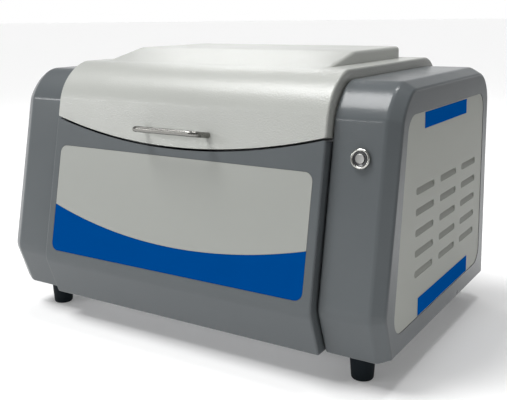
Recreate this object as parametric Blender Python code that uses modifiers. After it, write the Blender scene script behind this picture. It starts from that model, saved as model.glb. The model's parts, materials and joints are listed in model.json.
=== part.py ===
"""Benchtop x-ray fluorescence analyzer, an assembly of separate pieces.

Metres, +Z up, the front faces -Y. The origin is on the floor, under the middle of the machine.
"""
import math

import bmesh
import bpy
from mathutils import Matrix, Vector

# Fits
FIT = 0.0003
OVERRUN = 0.002
SHEET = 0.002
SHELL_WALL = 0.003

# Overall casing
OVERALL_WIDTH = 0.550
OVERALL_DEPTH = 0.387
REAR_HARDWARE = 0.0035
FOOT_HEIGHT = 0.033
BODY_HEIGHT = 0.297
FRONT_LEAN = math.radians(11.0)
CHIN_HEIGHT = 0.055
CHIN_SETBACK = 0.0215
FACE_LENGTH = 0.2076
BROW_RUN = 0.035
BROW_RADIUS = 0.085
REAR_ROUND = 0.050

# Cheeks
CHEEK_WIDTH = 0.075
CHAMFER_WIDTH = 0.015
CHAMFER_INSET = 0.0084
CHEEK_RETURN = 0.030

# Centre band: the lid above the front cover
BAND_GAP = 0.002
BAND_PROUD = 0.0115
COVER_RETURN = 0.022
LID_GAP = 0.0028
LID_ARC_RISE = 0.0265
LID_ARC_HEIGHT = 0.1592
LID_RIM_DEPTH = 0.022
LID_BROW_RUN = 0.0505
LID_BROW_RADIUS = 0.066
LID_REAR_SETBACK = 0.010
LID_REAR_RISE = 0.0255
LID_REAR_ROUND = 0.050
LID_REAR_OVERSHOOT = 0.015
LID_LINER_DEPTH = 0.019
LID_CLEARANCE = 0.001

# Plateau on the lid
PLATEAU_WIDTH = 0.338
PLATEAU_RISE = 0.0155
PLATEAU_FRONT_SETBACK = 0.012
PLATEAU_SLOPE = 0.072
PLATEAU_REAR_SETBACK = 0.0448
PLATEAU_CORNER = 0.018

# Front panel and its blue sweep
PANEL_WIDTH = 0.373
PANEL_LOW = 0.0087
PANEL_BELOW_LID = 0.0122
PANEL_CORNER = 0.010
PANEL_RECESS = 0.0012
PANEL_THICKNESS = 0.0009
SWEEP_RADIUS = 0.683
SWEEP_HEIGHT = 0.040
SWEEP_OFFSET = 0.011

# Side panels, strips and louvres
RING_FRONT = 0.0244
RING_REAR = 0.0206
RING_TOP = 0.0266
RING_BOTTOM = 0.0200
SIDE_PANEL_LEAN = math.radians(8.6)
SIDE_PANEL_CORNER = 0.021
SIDE_PANEL_THICKNESS = 0.0015
SIDE_PANEL_LEDGE = 0.009
SIDE_PANEL_SINK = 0.0006
STRIP_THICKNESS = 0.0004
UPPER_STRIP_HEIGHT = 0.018
LOWER_STRIP_HEIGHT = 0.021
UPPER_STRIP_FRONT_SETBACK = 0.051
LOWER_STRIP_FRONT_SETBACK = 0.073
UPPER_STRIP_REAR_SETBACK = 0.076
LOWER_STRIP_REAR_SETBACK = 0.055
STRIP_EDGE = 0.001
LOUVRE_ROWS = 5
LOUVRE_COLUMNS = 3
LOUVRE_ROW_PITCH = 0.0237
LOUVRE_COLUMN_GAP = 0.021
LOUVRE_HEIGHT = 0.008
LOUVRE_DEPTH = 0.0035
LOUVRE_SKIN = 0.001
LOUVRE_FIRST_HEIGHT = 0.0523
LOUVRE_FRONT_SETBACK = 0.0585
LOUVRE_REAR_SETBACK = 0.0293
LOUVRE_END_SHARE = 0.48
LOUVRE_LIP_SHARE = 0.6
LOUVRE_SLOT_SHARE = 0.35

# Feet
FOOT_TOP_RADIUS = 0.015
FOOT_BASE_RADIUS = 0.0125
FOOT_INSET_X = 0.0435
FOOT_INSET_Y = 0.029
FOOT_STUD_RADIUS = 0.005
FOOT_STUD_CLEARANCE = 0.0004

# Handle
HANDLE_SPAN = 0.092
HANDLE_ROD_RADIUS = 0.0036
HANDLE_STANDOFF = 0.027
HANDLE_BEND = 0.010
HANDLE_ABOVE_EDGE = 0.0173
HANDLE_SCREW_RADIUS = 0.002
HANDLE_SCREW_LENGTH = 0.009
HANDLE_SCREW_HEAD_RADIUS = 0.0036
HANDLE_SCREW_HEAD_HEIGHT = 0.0024
HANDLE_SCREW_CLEARANCE = 0.0003

# Power button
BUTTON_INSET = 0.040
BUTTON_HEIGHT = 0.1665
BEZEL_RADIUS = 0.0112
BEZEL_PROUD = 0.0045
BEZEL_FLAT = 0.0075
BEZEL_CHAMFER = 0.0015
BUTTON_BARREL_RADIUS = 0.0095
BUTTON_BARREL_LENGTH = 0.018
BUTTON_CAP_RADIUS = 0.0056
BUTTON_CAP_PROUD = 0.0018
BUTTON_CAP_LENGTH = 0.008
BUTTON_RUNNING = 0.0001
BUTTON_TRAVEL = 0.0015
BUTTON_NUT_ACROSS = 0.025
BUTTON_NUT_THICKNESS = 0.004

# Hinges
HINGE_INSET_X = 0.068
HINGE_LENGTH = 0.060
HINGE_BARREL_RADIUS = 0.005
HINGE_PIN_RADIUS = 0.0025
HINGE_RUNNING = 0.0001
HINGE_LEAF = 0.002
HINGE_BODY_LEAF_HEIGHT = 0.055
HINGE_LID_LEAF_HEIGHT = 0.0105
HINGE_KNUCKLE_SHARE = 0.42
HINGE_LEAF_DROP = 0.009

# Tray, deck and stage
TRAY_FLANGE = 0.015
DECK_DROP = 0.058
DECK_APRON = 0.030
DECK_REAR_GAP = 0.024
DECK_WELL_RADIUS = 0.022
STAGE_WIDTH = 0.220
STAGE_DEPTH = 0.170
STAGE_THICKNESS = 0.005
STAGE_CORNER = 0.012
STAGE_OFFSET_Y = 0.004
WINDOW_RING_RADIUS = 0.028
WINDOW_RING_THICKNESS = 0.003
WINDOW_RADIUS = 0.010
WINDOW_FILM = 0.0006

# Optics under the deck
BRACKET_DEPTH = 0.090
BRACKET_PLATE = 0.004
BRACKET_FLANGE = 0.015
BRACKET_NOSE_WIDTH = 0.018
BEAM_ANGLE = math.radians(45.0)
TUBE_RADIUS = 0.024
TUBE_LENGTH = 0.085
TUBE_NOSE_RADIUS = 0.006
TUBE_NOSE_LENGTH = 0.009
NOSE_CLEARANCE = 0.0004
OPTICS_ALONG = 0.040
DETECTOR_RADIUS = 0.008
DETECTOR_LENGTH = 0.030
DETECTOR_NOSE_RADIUS = 0.006
DETECTOR_NOSE_LENGTH = 0.016
PREAMP_WIDTH = 0.034
PREAMP_DEPTH = 0.050
PREAMP_LENGTH = 0.036
FILTER_RADIUS = 0.0185
FILTER_THICKNESS = 0.0015
FILTER_SHAFT_RADIUS = 0.00125
FILTER_SHAFT_RUNNING = 0.00005
FILTER_HOLE_RADIUS = 0.0035
FILTER_HOLES = 6
FILTER_HOLE_CIRCLE = 0.0145
FILTER_GAP = 0.0008
MOTOR_SIDE = 0.015
MOTOR_LENGTH = 0.0065
CAMERA_SIDE = 0.024
CAMERA_LENGTH = 0.030
CAMERA_LENS_RADIUS = 0.007
CAMERA_LENS_LENGTH = 0.008
SHIELD_WIDTH = 0.290
SHIELD_DEPTH = 0.170
SHIELD_HEIGHT = 0.125

# Electronics on the tray
SUPPLY_WIDTH = 0.150
SUPPLY_DEPTH = 0.110
SUPPLY_HEIGHT = 0.050
GENERATOR_WIDTH = 0.150
GENERATOR_DEPTH = 0.110
GENERATOR_HEIGHT = 0.070
BOX_FROM_CENTRE_X = 0.020
BOX_FROM_CENTRE_Y = 0.040
BOARD_WIDTH = 0.150
BOARD_DEPTH = 0.100
BOARD_THICKNESS = 0.0016
BOARD_SETBACK = 0.015
BOARD_STANDOFF = 0.006
BOARD_STANDOFF_RADIUS = 0.003
BOARD_STANDOFF_INSET = 0.006
BOARD_CHIP_SIDE = 0.024
BOARD_CHIP_HEIGHT = 0.003
REED_WIDTH = 0.026
REED_DEPTH = 0.0042
REED_HEIGHT = 0.008
INTERLOCK_OFFSET_X = 0.050
MAGNET_WIDTH = 0.020
MAGNET_DEPTH = 0.006
MAGNET_HEIGHT = 0.0025

# Fans
FAN_INSET_X = 0.090
FAN_HEIGHT = 0.150
FAN_SIDE = 0.080
FAN_DEPTH = 0.025
FAN_BORE_RADIUS = 0.0375
FAN_HUB_RADIUS = 0.016
FAN_BACK_PLATE = 0.003
FAN_ARM_WIDTH = 0.006
FAN_BLADES = 7
FAN_BLADE_THICKNESS = 0.0012
FAN_BLADE_CHORD = 0.014
FAN_BLADE_PITCH = math.radians(40.0)
FAN_TIP_CLEARANCE = 0.0015
FAN_ROTOR_CLEARANCE = 0.001
FAN_SHAFT_RADIUS = 0.0015
FAN_SHAFT_RUNNING = 0.0001
GUARD_RADIUS = 0.041
GUARD_THICKNESS = 0.0012
GUARD_RINGS = 4
GUARD_CENTRE_RADIUS = 0.010
GUARD_RING_WIDTH = 0.0022
GUARD_SPOKE_WIDTH = 0.004

# Rear panel fittings
REAR_PANEL_THICKNESS = 0.002
INLET_HEIGHT = 0.080
INLET_FLANGE_WIDTH = 0.060
INLET_FLANGE_HEIGHT = 0.032
INLET_BODY_WIDTH = 0.052
INLET_BODY_HEIGHT = 0.026
INLET_BODY_DEPTH = 0.028
SOCKET_WIDTH = 0.0235
SOCKET_HEIGHT = 0.0165
SOCKET_DEPTH = 0.016
SOCKET_CORNER = 0.004
SOCKET_EDGE = 0.003
SOCKET_PIN_WIDTH = 0.002
SOCKET_PIN_HEIGHT = 0.005
SOCKET_PIN_PITCH = 0.007
SOCKET_PIN_LENGTH = 0.012
SOCKET_PIN_STAGGER_SHARE = 0.8
ROCKER_WIDTH = 0.0125
ROCKER_HEIGHT = 0.020
ROCKER_WELL_DEPTH = 0.0105
ROCKER_EDGE = 0.0045
ROCKER_CLEARANCE = 0.0004
ROCKER_CROWN = 0.0004
ROCKER_SINK = 0.0012
ROCKER_TILT = math.radians(7.0)
PORT_OFFSET_X = 0.060
PORT_WIDTH = 0.018
PORT_HEIGHT = 0.016
PORT_FLANGE = 0.002
PORT_DEPTH = 0.014
PORT_MOUTH_WIDTH = 0.009
PORT_MOUTH_HEIGHT = 0.008
PORT_MOUTH_DEPTH = 0.009

# Counts that set how round things are
ARC_STEPS = 8
ROUND_SEGMENTS = 32
SMALL_SEGMENTS = 16

# Worked out from the sizes above
HALF_WIDTH = OVERALL_WIDTH / 2
CHEEK_INNER_X = HALF_WIDTH - CHEEK_WIDTH
BAND_HALF = CHEEK_INNER_X - BAND_GAP
TOP_Z = FOOT_HEIGHT + BODY_HEIGHT
BAND_TOP_Z = TOP_Z + BAND_PROUD
REAR_Y = OVERALL_DEPTH / 2 - REAR_HARDWARE
FLOOR_TOP_Z = FOOT_HEIGHT + SHELL_WALL + FIT
TRAY_TOP_Z = FLOOR_TOP_Z + SHEET
DECK_TOP_Z = TOP_Z - DECK_DROP
DECK_BOTTOM_Z = DECK_TOP_Z - SHEET
DECK_DEPTH = LID_RIM_DEPTH + LID_CLEARANCE + SHEET + FIT

FACE_UP = Vector((math.sin(FRONT_LEAN), math.cos(FRONT_LEAN)))
FACE_OUT = Vector((-math.cos(FRONT_LEAN), math.sin(FRONT_LEAN)))
CHIN_OUT = Vector((-CHIN_HEIGHT, -CHIN_SETBACK)).normalized()
CREASE_OUT = (FACE_OUT + CHIN_OUT) / (1 + FACE_OUT.dot(CHIN_OUT))

LOWER_CREASE = Vector((-OVERALL_DEPTH / 2 - CREASE_OUT.x * BAND_PROUD, FOOT_HEIGHT + CHIN_HEIGHT))
CHIN_BOTTOM = LOWER_CREASE + Vector((CHIN_SETBACK, -CHIN_HEIGHT))
UPPER_CREASE = LOWER_CREASE + FACE_LENGTH * FACE_UP
BROW_END = Vector((UPPER_CREASE.x + BROW_RUN, TOP_Z))

CHIN_WAY = Vector((CHIN_SETBACK, -CHIN_HEIGHT))
BAND_CREASE = LOWER_CREASE + BAND_PROUD * CREASE_OUT
BAND_BOTTOM = BAND_CREASE + CHIN_WAY * ((BAND_CREASE.y - FOOT_HEIGHT) / CHIN_HEIGHT)
BAND_FRONT_EDGE = BAND_CREASE + (LID_ARC_HEIGHT - LID_ARC_RISE) * FACE_UP
LID_BROW_START = UPPER_CREASE + BAND_PROUD * FACE_OUT
LID_BROW_END = Vector((LID_BROW_START.x + LID_BROW_RUN, BAND_TOP_Z))
LID_REAR_Y = REAR_Y - LID_REAR_SETBACK
LID_REAR_BOTTOM_Z = BAND_TOP_Z - LID_REAR_RISE
PANEL_HIGH = LID_ARC_HEIGHT - PANEL_BELOW_LID
HANDLE_UP_FACE = LID_ARC_HEIGHT + HANDLE_ABOVE_EDGE
FAN_X = CHEEK_INNER_X - FAN_INSET_X

PANEL_LOW_Z = FOOT_HEIGHT + CHAMFER_INSET + RING_BOTTOM
PANEL_HIGH_Z = TOP_Z - CHAMFER_INSET - RING_TOP
PANEL_REAR_Y = REAR_Y - CHAMFER_INSET - RING_REAR

HINGE_Y = LID_REAR_Y + 2 * FIT + HINGE_LEAF + HINGE_BARREL_RADIUS
HINGE_Z = LID_REAR_BOTTOM_Z + FIT + OVERRUN / 2

COLLECTION_NAME = "xrf_analyzer"


def clear_scene():
    """Remove every object of the start-up scene."""
    for obj in list(bpy.data.objects):
        bpy.data.objects.remove(obj, do_unlink=True)


def make_collection(name):
    """Return a new collection linked to the scene."""
    collection = bpy.data.collections.new(name)
    bpy.context.scene.collection.children.link(collection)
    return collection


clear_scene()
PARTS = make_collection(COLLECTION_NAME)
CUTTERS = make_collection("cutters")


def material(name, colour, roughness, metallic=0.0):
    """Return a Principled material with one plain finish."""
    made = bpy.data.materials.get(name) or bpy.data.materials.new(name)
    made.use_nodes = True
    shader = made.node_tree.nodes["Principled BSDF"]
    shader.inputs["Base Color"].default_value = (*colour, 1.0)
    shader.inputs["Roughness"].default_value = roughness
    shader.inputs["Metallic"].default_value = metallic
    return made


LIGHT_PAINT = material("light_paint", (0.58, 0.59, 0.55), 0.35)
GREY_PAINT = material("grey_paint", (0.13, 0.14, 0.15), 0.40)
BLUE_FILM = material("blue_film", (0.0, 0.056, 0.235), 0.35)
BLACK_RUBBER = material("black_rubber", (0.012, 0.015, 0.018), 0.80)
BLACK_PLASTIC = material("black_plastic", (0.02, 0.02, 0.022), 0.45)
STAINLESS = material("stainless", (0.60, 0.60, 0.58), 0.25, 1.0)
ZINC_SHEET = material("zinc_sheet", (0.52, 0.53, 0.55), 0.40, 1.0)
ALUMINIUM = material("aluminium", (0.70, 0.71, 0.72), 0.35, 1.0)
CLEAR_FILM = material("clear_film", (0.75, 0.68, 0.45), 0.15)
BOARD_GREEN = material("board_green", (0.01, 0.12, 0.05), 0.50)


def link_mesh(name, mesh, frame, collection):
    """Link a mesh as an object placed by its frame."""
    obj = bpy.data.objects.new(name, mesh)
    obj.matrix_world = frame
    collection.objects.link(obj)
    return obj


def as_part(obj, look):
    """Give a finished piece its material and flat shading that keeps sharp edges."""
    obj.data.materials.clear()
    obj.data.materials.append(look)
    obj.data.shade_smooth()
    obj.data.set_sharp_from_angle(angle=math.radians(35.0))
    return obj


def mesh_from(build, name, frame, collection):
    """Run build(bm) on an empty mesh and link the result."""
    mesh = bpy.data.meshes.new(name)
    bm = bmesh.new()
    build(bm)
    bm.to_mesh(mesh)
    bm.free()
    return link_mesh(name, mesh, frame, collection)


def box(name, low, high, frame=None, collection=None):
    """Return a box between two opposite corners, given in the frame."""
    low, high = Vector(low), Vector(high)
    size = high - low
    middle = (low + high) / 2

    def build(bm):
        bmesh.ops.create_cube(bm, size=1.0)
        bmesh.ops.scale(bm, vec=size, verts=bm.verts)

    place = (frame or Matrix.Identity(4)) @ Matrix.Translation(middle)
    return mesh_from(build, name, place, collection or PARTS)


def round_bar(name, radius, low, high, frame, collection=None, top_radius=None, segments=ROUND_SEGMENTS):
    """Return a cylinder or a cone along the frame's Z, from low to high."""
    def build(bm):
        bmesh.ops.create_cone(
            bm, cap_ends=True, segments=segments, radius1=radius,
            radius2=radius if top_radius is None else top_radius, depth=high - low,
        )

    place = frame @ Matrix.Translation((0, 0, (low + high) / 2))
    return mesh_from(build, name, place, collection or PARTS)


def outline_solid(name, loops, low, high, frame, collection=None):
    """Return a plate whose outline, with any holes, lies in the frame's XY plane, from low to high."""
    curve = bpy.data.curves.new(name, "CURVE")
    curve.dimensions = "2D"
    curve.fill_mode = "BOTH"
    curve.extrude = (high - low) / 2
    for loop in loops:
        spline = curve.splines.new("POLY")
        spline.points.add(len(loop) - 1)
        for point, place in zip(spline.points, loop):
            point.co = (place[0], place[1], 0, 1)
        spline.use_cyclic_u = True
    place = frame @ Matrix.Translation((0, 0, (low + high) / 2))
    return mesh_of_curve(name, curve, place, collection or PARTS)


def mesh_of_curve(name, curve, frame, collection):
    """Turn a curve into a welded mesh object at the curve's own place."""
    source = bpy.data.objects.new(name + "_curve", curve)
    source.matrix_world = frame
    bpy.context.scene.collection.objects.link(source)
    depsgraph = bpy.context.evaluated_depsgraph_get()
    mesh = bpy.data.meshes.new_from_object(source.evaluated_get(depsgraph))
    mesh.name = name
    bm = bmesh.new()
    bm.from_mesh(mesh)
    bmesh.ops.remove_doubles(bm, verts=bm.verts, dist=FIT / 10)
    bmesh.ops.recalc_face_normals(bm, faces=bm.faces)
    bm.to_mesh(mesh)
    bm.free()
    made = link_mesh(name, mesh, source.matrix_world.copy(), collection)
    bpy.data.objects.remove(source, do_unlink=True)
    bpy.data.curves.remove(curve)
    return made


def combine(target, operation, tool):
    """Add an exact Boolean of tool to target, and hide the tool."""
    modifier = target.modifiers.new(tool.name, "BOOLEAN")
    modifier.operation = operation
    modifier.solver = "EXACT"
    modifier.object = tool
    tool.hide_render = True
    tool.display_type = "WIRE"
    return target


def cut(target, *tools):
    """Cut each tool out of target."""
    for tool in tools:
        combine(target, "DIFFERENCE", tool)
    return target


def fuse(target, *tools):
    """Join each tool to target."""
    for tool in tools:
        combine(target, "UNION", tool)
    return target


def frame_at(origin, x_axis, y_axis):
    """Return the frame with this origin and these two axes."""
    x_axis, y_axis = Vector(x_axis).normalized(), Vector(y_axis).normalized()
    z_axis = x_axis.cross(y_axis)
    rotation = Matrix((x_axis, y_axis, z_axis)).transposed().to_4x4()
    return Matrix.Translation(origin) @ rotation


def side_frame(x=0):
    """Return the frame whose plane is YZ and whose Z points to +X, at the given X."""
    return frame_at((x, 0, 0), (0, 1, 0), (0, 0, 1))


def rear_frame(y=0):
    """Return the frame whose plane is XZ and whose Z points to -Y, at the given Y."""
    return frame_at((0, y, 0), (1, 0, 0), (0, 0, 1))


def flat_frame(z=0, x=0, y=0):
    """Return the level frame at the given place."""
    return Matrix.Translation((x, y, z))


def face_frame(proud=0):
    """Return the leaning front face's frame, Y up the face from the lower crease, Z outward."""
    origin = LOWER_CREASE + proud * FACE_OUT
    return frame_at((0, *origin), (1, 0, 0), (0, *FACE_UP))


def arc(centre, radius, start, end, steps=ARC_STEPS):
    """Return the points of an arc between two angles in degrees, both ends included."""
    points = []
    for index in range(steps + 1):
        angle = math.radians(start + (end - start) * index / steps)
        points.append(Vector((centre[0] + radius * math.cos(angle), centre[1] + radius * math.sin(angle))))
    return points


def arc_between(start, end, radius, steps=ARC_STEPS):
    """Return the points of the arc from start to end that bulges to the right of that way."""
    chord = end - start
    radius = max(radius, chord.length / 2)
    right = Vector((chord.y, -chord.x)).normalized()
    centre = (start + end) / 2 - right * math.sqrt(radius ** 2 - (chord.length / 2) ** 2)
    first = math.degrees(math.atan2(*(start - centre).yx))
    sweep = 2 * math.degrees(math.asin(chord.length / 2 / radius))
    return arc(centre, radius, first, first + sweep, steps)


def rounded(corners, radius, steps=4):
    """Return an anticlockwise outline with each of its corners rounded."""
    points = []
    count = len(corners)
    for index, corner in enumerate(corners):
        corner = Vector(corner)
        before = (Vector(corners[index - 1]) - corner).normalized()
        after = (Vector(corners[(index + 1) % count]) - corner).normalized()
        half = before.angle(after) / 2
        centre = corner + (before + after).normalized() * radius / math.sin(half)
        start = corner + before * radius / math.tan(half) - centre
        turn = math.pi - 2 * half
        for step in range(steps + 1):
            angle = turn * step / steps
            spun = Vector((
                start.x * math.cos(angle) - start.y * math.sin(angle),
                start.x * math.sin(angle) + start.y * math.cos(angle),
            ))
            points.append(centre + spun)
    return points


def rectangle(width, height, centre=(0, 0)):
    """Return a rectangle's corners, anticlockwise."""
    x, y = centre
    return [
        (x - width / 2, y - height / 2), (x + width / 2, y - height / 2),
        (x + width / 2, y + height / 2), (x - width / 2, y + height / 2),
    ]


def offset_path(points, distance, closed=True):
    """Return the anticlockwise path moved outward by the distance, with mitred corners."""
    moved = []
    count = len(points)
    for index, point in enumerate(points):
        ways = []
        if closed or index > 0:
            ways.append((point - points[index - 1]).normalized())
        if closed or index < count - 1:
            ways.append((points[(index + 1) % count] - point).normalized())
        normals = [Vector((way.y, -way.x)) for way in ways]
        if len(normals) == 1:
            moved.append(point + normals[0] * distance)
        else:
            mitre = (normals[0] + normals[1]) / (1 + normals[0].dot(normals[1]))
            moved.append(point + mitre * distance)
    return moved


def cheek_outline():
    """Return the cheeks' side profile (y, z), anticlockwise from the chin's bottom edge."""
    centre = (REAR_Y - REAR_ROUND, TOP_Z - REAR_ROUND)
    return [
        CHIN_BOTTOM,
        Vector((REAR_Y, FOOT_HEIGHT)),
        *arc(centre, REAR_ROUND, 0, 90),
        *arc_between(BROW_END, UPPER_CREASE, BROW_RADIUS),
        LOWER_CREASE,
    ]


def lid_profile():
    """Return the lid's outer profile (y, z), from the bottom of its rear wall forward to its front edge."""
    centre = Vector((LID_REAR_Y - LID_REAR_ROUND + LID_REAR_OVERSHOOT, BAND_TOP_Z - LID_REAR_ROUND))
    reach = math.degrees(math.acos((LID_REAR_Y - centre.x) / LID_REAR_ROUND))
    return [
        Vector((LID_REAR_Y, LID_REAR_BOTTOM_Z)),
        *arc(centre, LID_REAR_ROUND, reach, 90),
        *arc_between(LID_BROW_END, LID_BROW_START, LID_BROW_RADIUS),
        BAND_FRONT_EDGE,
    ]


def lid_outline():
    """Return the lid's closed side outline: outer profile, lower edge of its rims, foot of its rear wall."""
    foot_y = LID_REAR_Y - SHELL_WALL - OVERRUN / 2
    under = band_line(foot_y, LID_RIM_DEPTH)
    return lid_profile() + under[::-1] + [Vector((foot_y, LID_REAR_BOTTOM_Z))]


def lid_arc(drop, extra):
    """Return the points of the lid's curved lower edge on the face, lowered by drop."""
    half = BAND_HALF + extra
    radius = (BAND_HALF ** 2 + LID_ARC_RISE ** 2) / (2 * LID_ARC_RISE)
    points = []
    for index in range(2 * ARC_STEPS + 1):
        x = -half + 2 * half * index / (2 * ARC_STEPS)
        points.append(Vector((x, LID_ARC_HEIGHT - drop + radius - math.sqrt(radius ** 2 - x ** 2))))
    return points


def cheek_block(name, side, shrink, inner_x, collection):
    """Return one cheek's chamfered block, its profile drawn in by shrink."""
    straight_end = HALF_WIDTH - CHAMFER_WIDTH
    outline = offset_path(cheek_outline(), -shrink)
    low, high = sorted((side * inner_x, side * straight_end))
    block = outline_solid(name, [outline], low, high, side_frame(), collection)
    bm = bmesh.new()
    bm.from_mesh(block.data)
    caps = [face for face in bm.faces if face.normal.z * side > 0.9]
    bmesh.ops.inset_region(
        bm, faces=caps, thickness=CHAMFER_INSET, depth=CHAMFER_WIDTH - shrink, use_boundary=True,
        use_even_offset=True,
    )
    bm.to_mesh(block.data)
    bm.free()
    return block


def panel_front_y(z):
    """Return the Y place of a side panel's leaning front edge at a height."""
    crease_y = LOWER_CREASE.x + CHAMFER_INSET + RING_FRONT
    return crease_y + (z - LOWER_CREASE.y) * math.tan(SIDE_PANEL_LEAN)


def side_panel_outline(grow):
    """Return a side panel's outline (y, z), grown by a clearance."""
    corners = [
        (panel_front_y(PANEL_LOW_Z), PANEL_LOW_Z), (PANEL_REAR_Y, PANEL_LOW_Z),
        (PANEL_REAR_Y, PANEL_HIGH_Z), (panel_front_y(PANEL_HIGH_Z), PANEL_HIGH_Z),
    ]
    return offset_path(rounded(corners, SIDE_PANEL_CORNER), grow)


def cheek_mouth_outline():
    """Return the outline (y, z) of the opening in the cheek's inner side."""
    corners = [
        CHIN_BOTTOM, Vector((REAR_Y, FOOT_HEIGHT)), Vector((REAR_Y, TOP_Z)), BROW_END, UPPER_CREASE,
        LOWER_CREASE,
    ]
    return rounded(offset_path(corners, -CHEEK_RETURN), REAR_ROUND - CHEEK_RETURN)


def make_cheek(side, name):
    """Make one cheek: a shell open to the middle, with a ledge for its side panel."""
    cheek = cheek_block(name, side, 0, CHEEK_INNER_X, PARTS)
    hollow = cheek_block(name + "_hollow", side, SHELL_WALL, CHEEK_INNER_X + SHELL_WALL, CUTTERS)
    mouth_low, mouth_high = sorted((
        side * (CHEEK_INNER_X - OVERRUN), side * (CHEEK_INNER_X + SHELL_WALL + OVERRUN)
    ))
    mouth = outline_solid(
        name + "_mouth", [cheek_mouth_outline()], mouth_low, mouth_high, side_frame(), CUTTERS
    )
    seat_low, seat_high = sorted((
        side * (HALF_WIDTH - SIDE_PANEL_THICKNESS - SIDE_PANEL_SINK - FIT), side * (HALF_WIDTH + OVERRUN)
    ))
    seat = outline_solid(
        name + "_seat", [side_panel_outline(FIT)], seat_low, seat_high, side_frame(), CUTTERS
    )
    window_low, window_high = sorted((
        side * (HALF_WIDTH - SHELL_WALL - OVERRUN), side * (HALF_WIDTH + OVERRUN)
    ))
    window = outline_solid(
        name + "_window", [side_panel_outline(-SIDE_PANEL_LEDGE)], window_low, window_high,
        side_frame(), CUTTERS,
    )
    cut(cheek, fuse(hollow, mouth, window), seat)
    for foot_y in foot_places():
        hole = round_bar(
            f"{name}_foot_hole", FOOT_STUD_RADIUS + FOOT_STUD_CLEARANCE, FOOT_HEIGHT - OVERRUN,
            FOOT_HEIGHT + SHELL_WALL + OVERRUN, flat_frame(0, side * (HALF_WIDTH - FOOT_INSET_X), foot_y),
            CUTTERS, segments=SMALL_SEGMENTS,
        )
        cut(cheek, hole)
    if side > 0:
        hole = round_bar(
            f"{name}_button_hole", BUTTON_BARREL_RADIUS + FIT, -SHELL_WALL - OVERRUN, OVERRUN,
            button_frame(), CUTTERS,
        )
        cut(cheek, hole)
    return as_part(cheek, GREY_PAINT)


def louvre_places():
    """Return the louvres' centres (y, z), column by column, and their length."""
    first_z = PANEL_LOW_Z + LOUVRE_FIRST_HEIGHT
    front_y = panel_front_y(LOWER_CREASE.y) + LOUVRE_FRONT_SETBACK
    room = PANEL_REAR_Y - LOUVRE_REAR_SETBACK - front_y
    length = (room - (LOUVRE_COLUMNS - 1) * LOUVRE_COLUMN_GAP) / LOUVRE_COLUMNS
    places = []
    for column in range(LOUVRE_COLUMNS):
        y = front_y + length / 2 + column * (length + LOUVRE_COLUMN_GAP)
        places += [(y, first_z + row * LOUVRE_ROW_PITCH) for row in range(LOUVRE_ROWS)]
    return places, length


def louvre_wedge(bm, side, y, z, length, grow):
    """Add a stadium-shaped wedge to bm: deep at its top edge, flush at its bottom edge."""
    height = LOUVRE_HEIGHT + 2 * grow
    corners = rectangle(length + 2 * grow, height, (y, z))
    near = side * (OVERRUN if grow <= 0 else -FIT)
    outline = rounded(corners, height * LOUVRE_END_SHARE, 2)
    verts = [bm.verts.new((point.x, point.y, near)) for point in outline]
    face = bmesh.ops.contextual_create(bm, geom=verts)["faces"][0]
    skin = bmesh.ops.extrude_face_region(bm, geom=[face])
    for vert in skin["geom"]:
        if isinstance(vert, bmesh.types.BMVert):
            share = (vert.co.y - z) / height + 1 / 2
            vert.co.z = -side * (SIDE_PANEL_THICKNESS * LOUVRE_LIP_SHARE + (LOUVRE_DEPTH + grow) * share)


def make_side_panel(side, name):
    """Make one side panel with its louvres pressed inward, open along their top edges."""
    face_x = side * (HALF_WIDTH - SIDE_PANEL_SINK)
    frame = side_frame(face_x)
    low, high = sorted((0, -side * SIDE_PANEL_THICKNESS))
    panel = outline_solid(name, [side_panel_outline(0)], low, high, frame)
    places, length = louvre_places()

    def build(grow):
        def add(bm):
            for y, z in places:
                louvre_wedge(bm, side, y, z, length, grow)
            bmesh.ops.recalc_face_normals(bm, faces=bm.faces)
        return add

    blisters = mesh_from(build(LOUVRE_SKIN), name + "_blisters", frame, CUTTERS)
    hollows = mesh_from(build(0), name + "_hollows", frame, CUTTERS)
    fuse(panel, blisters)
    cut(panel, hollows)
    near = SIDE_PANEL_THICKNESS * LOUVRE_LIP_SHARE + LOUVRE_DEPTH * LOUVRE_SLOT_SHARE
    depth = LOUVRE_DEPTH + LOUVRE_SKIN + OVERRUN
    slot = (length - 2 * LOUVRE_HEIGHT * LOUVRE_END_SHARE - 4 * FIT, 2 * (LOUVRE_SKIN + OVERRUN / 2), depth)

    def add_slots(bm):
        for y, z in places:
            made = bmesh.ops.create_cube(bm, size=1.0)
            bmesh.ops.scale(bm, vec=slot, verts=made["verts"])
            place = Vector((y, z + LOUVRE_HEIGHT / 2, -side * (near + depth / 2)))
            bmesh.ops.translate(bm, vec=place, verts=made["verts"])

    cut(panel, mesh_from(add_slots, name + "_slots", frame, CUTTERS))
    return as_part(panel, LIGHT_PAINT)


def make_strips(side, word):
    """Make the two plain blue strips stuck on one side panel."""
    face_x = side * (HALF_WIDTH - SIDE_PANEL_SINK)
    near, far = sorted((face_x + side * FIT / 3, face_x + side * STRIP_THICKNESS))
    high_z = PANEL_HIGH_Z - STRIP_EDGE
    upper_z = high_z - UPPER_STRIP_HEIGHT
    front_y = panel_front_y(upper_z + UPPER_STRIP_HEIGHT / 2) + UPPER_STRIP_FRONT_SETBACK
    as_part(box(
        f"{word}_upper_strip", (near, front_y, upper_z),
        (far, PANEL_REAR_Y - UPPER_STRIP_REAR_SETBACK, high_z),
    ), BLUE_FILM)
    low_z = PANEL_LOW_Z + STRIP_EDGE
    lower_z = low_z + LOWER_STRIP_HEIGHT
    front_y = panel_front_y(low_z + LOWER_STRIP_HEIGHT / 2) + LOWER_STRIP_FRONT_SETBACK
    as_part(box(
        f"{word}_lower_strip", (near, front_y, low_z),
        (far, PANEL_REAR_Y - LOWER_STRIP_REAR_SETBACK, lower_z),
    ), BLUE_FILM)


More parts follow.
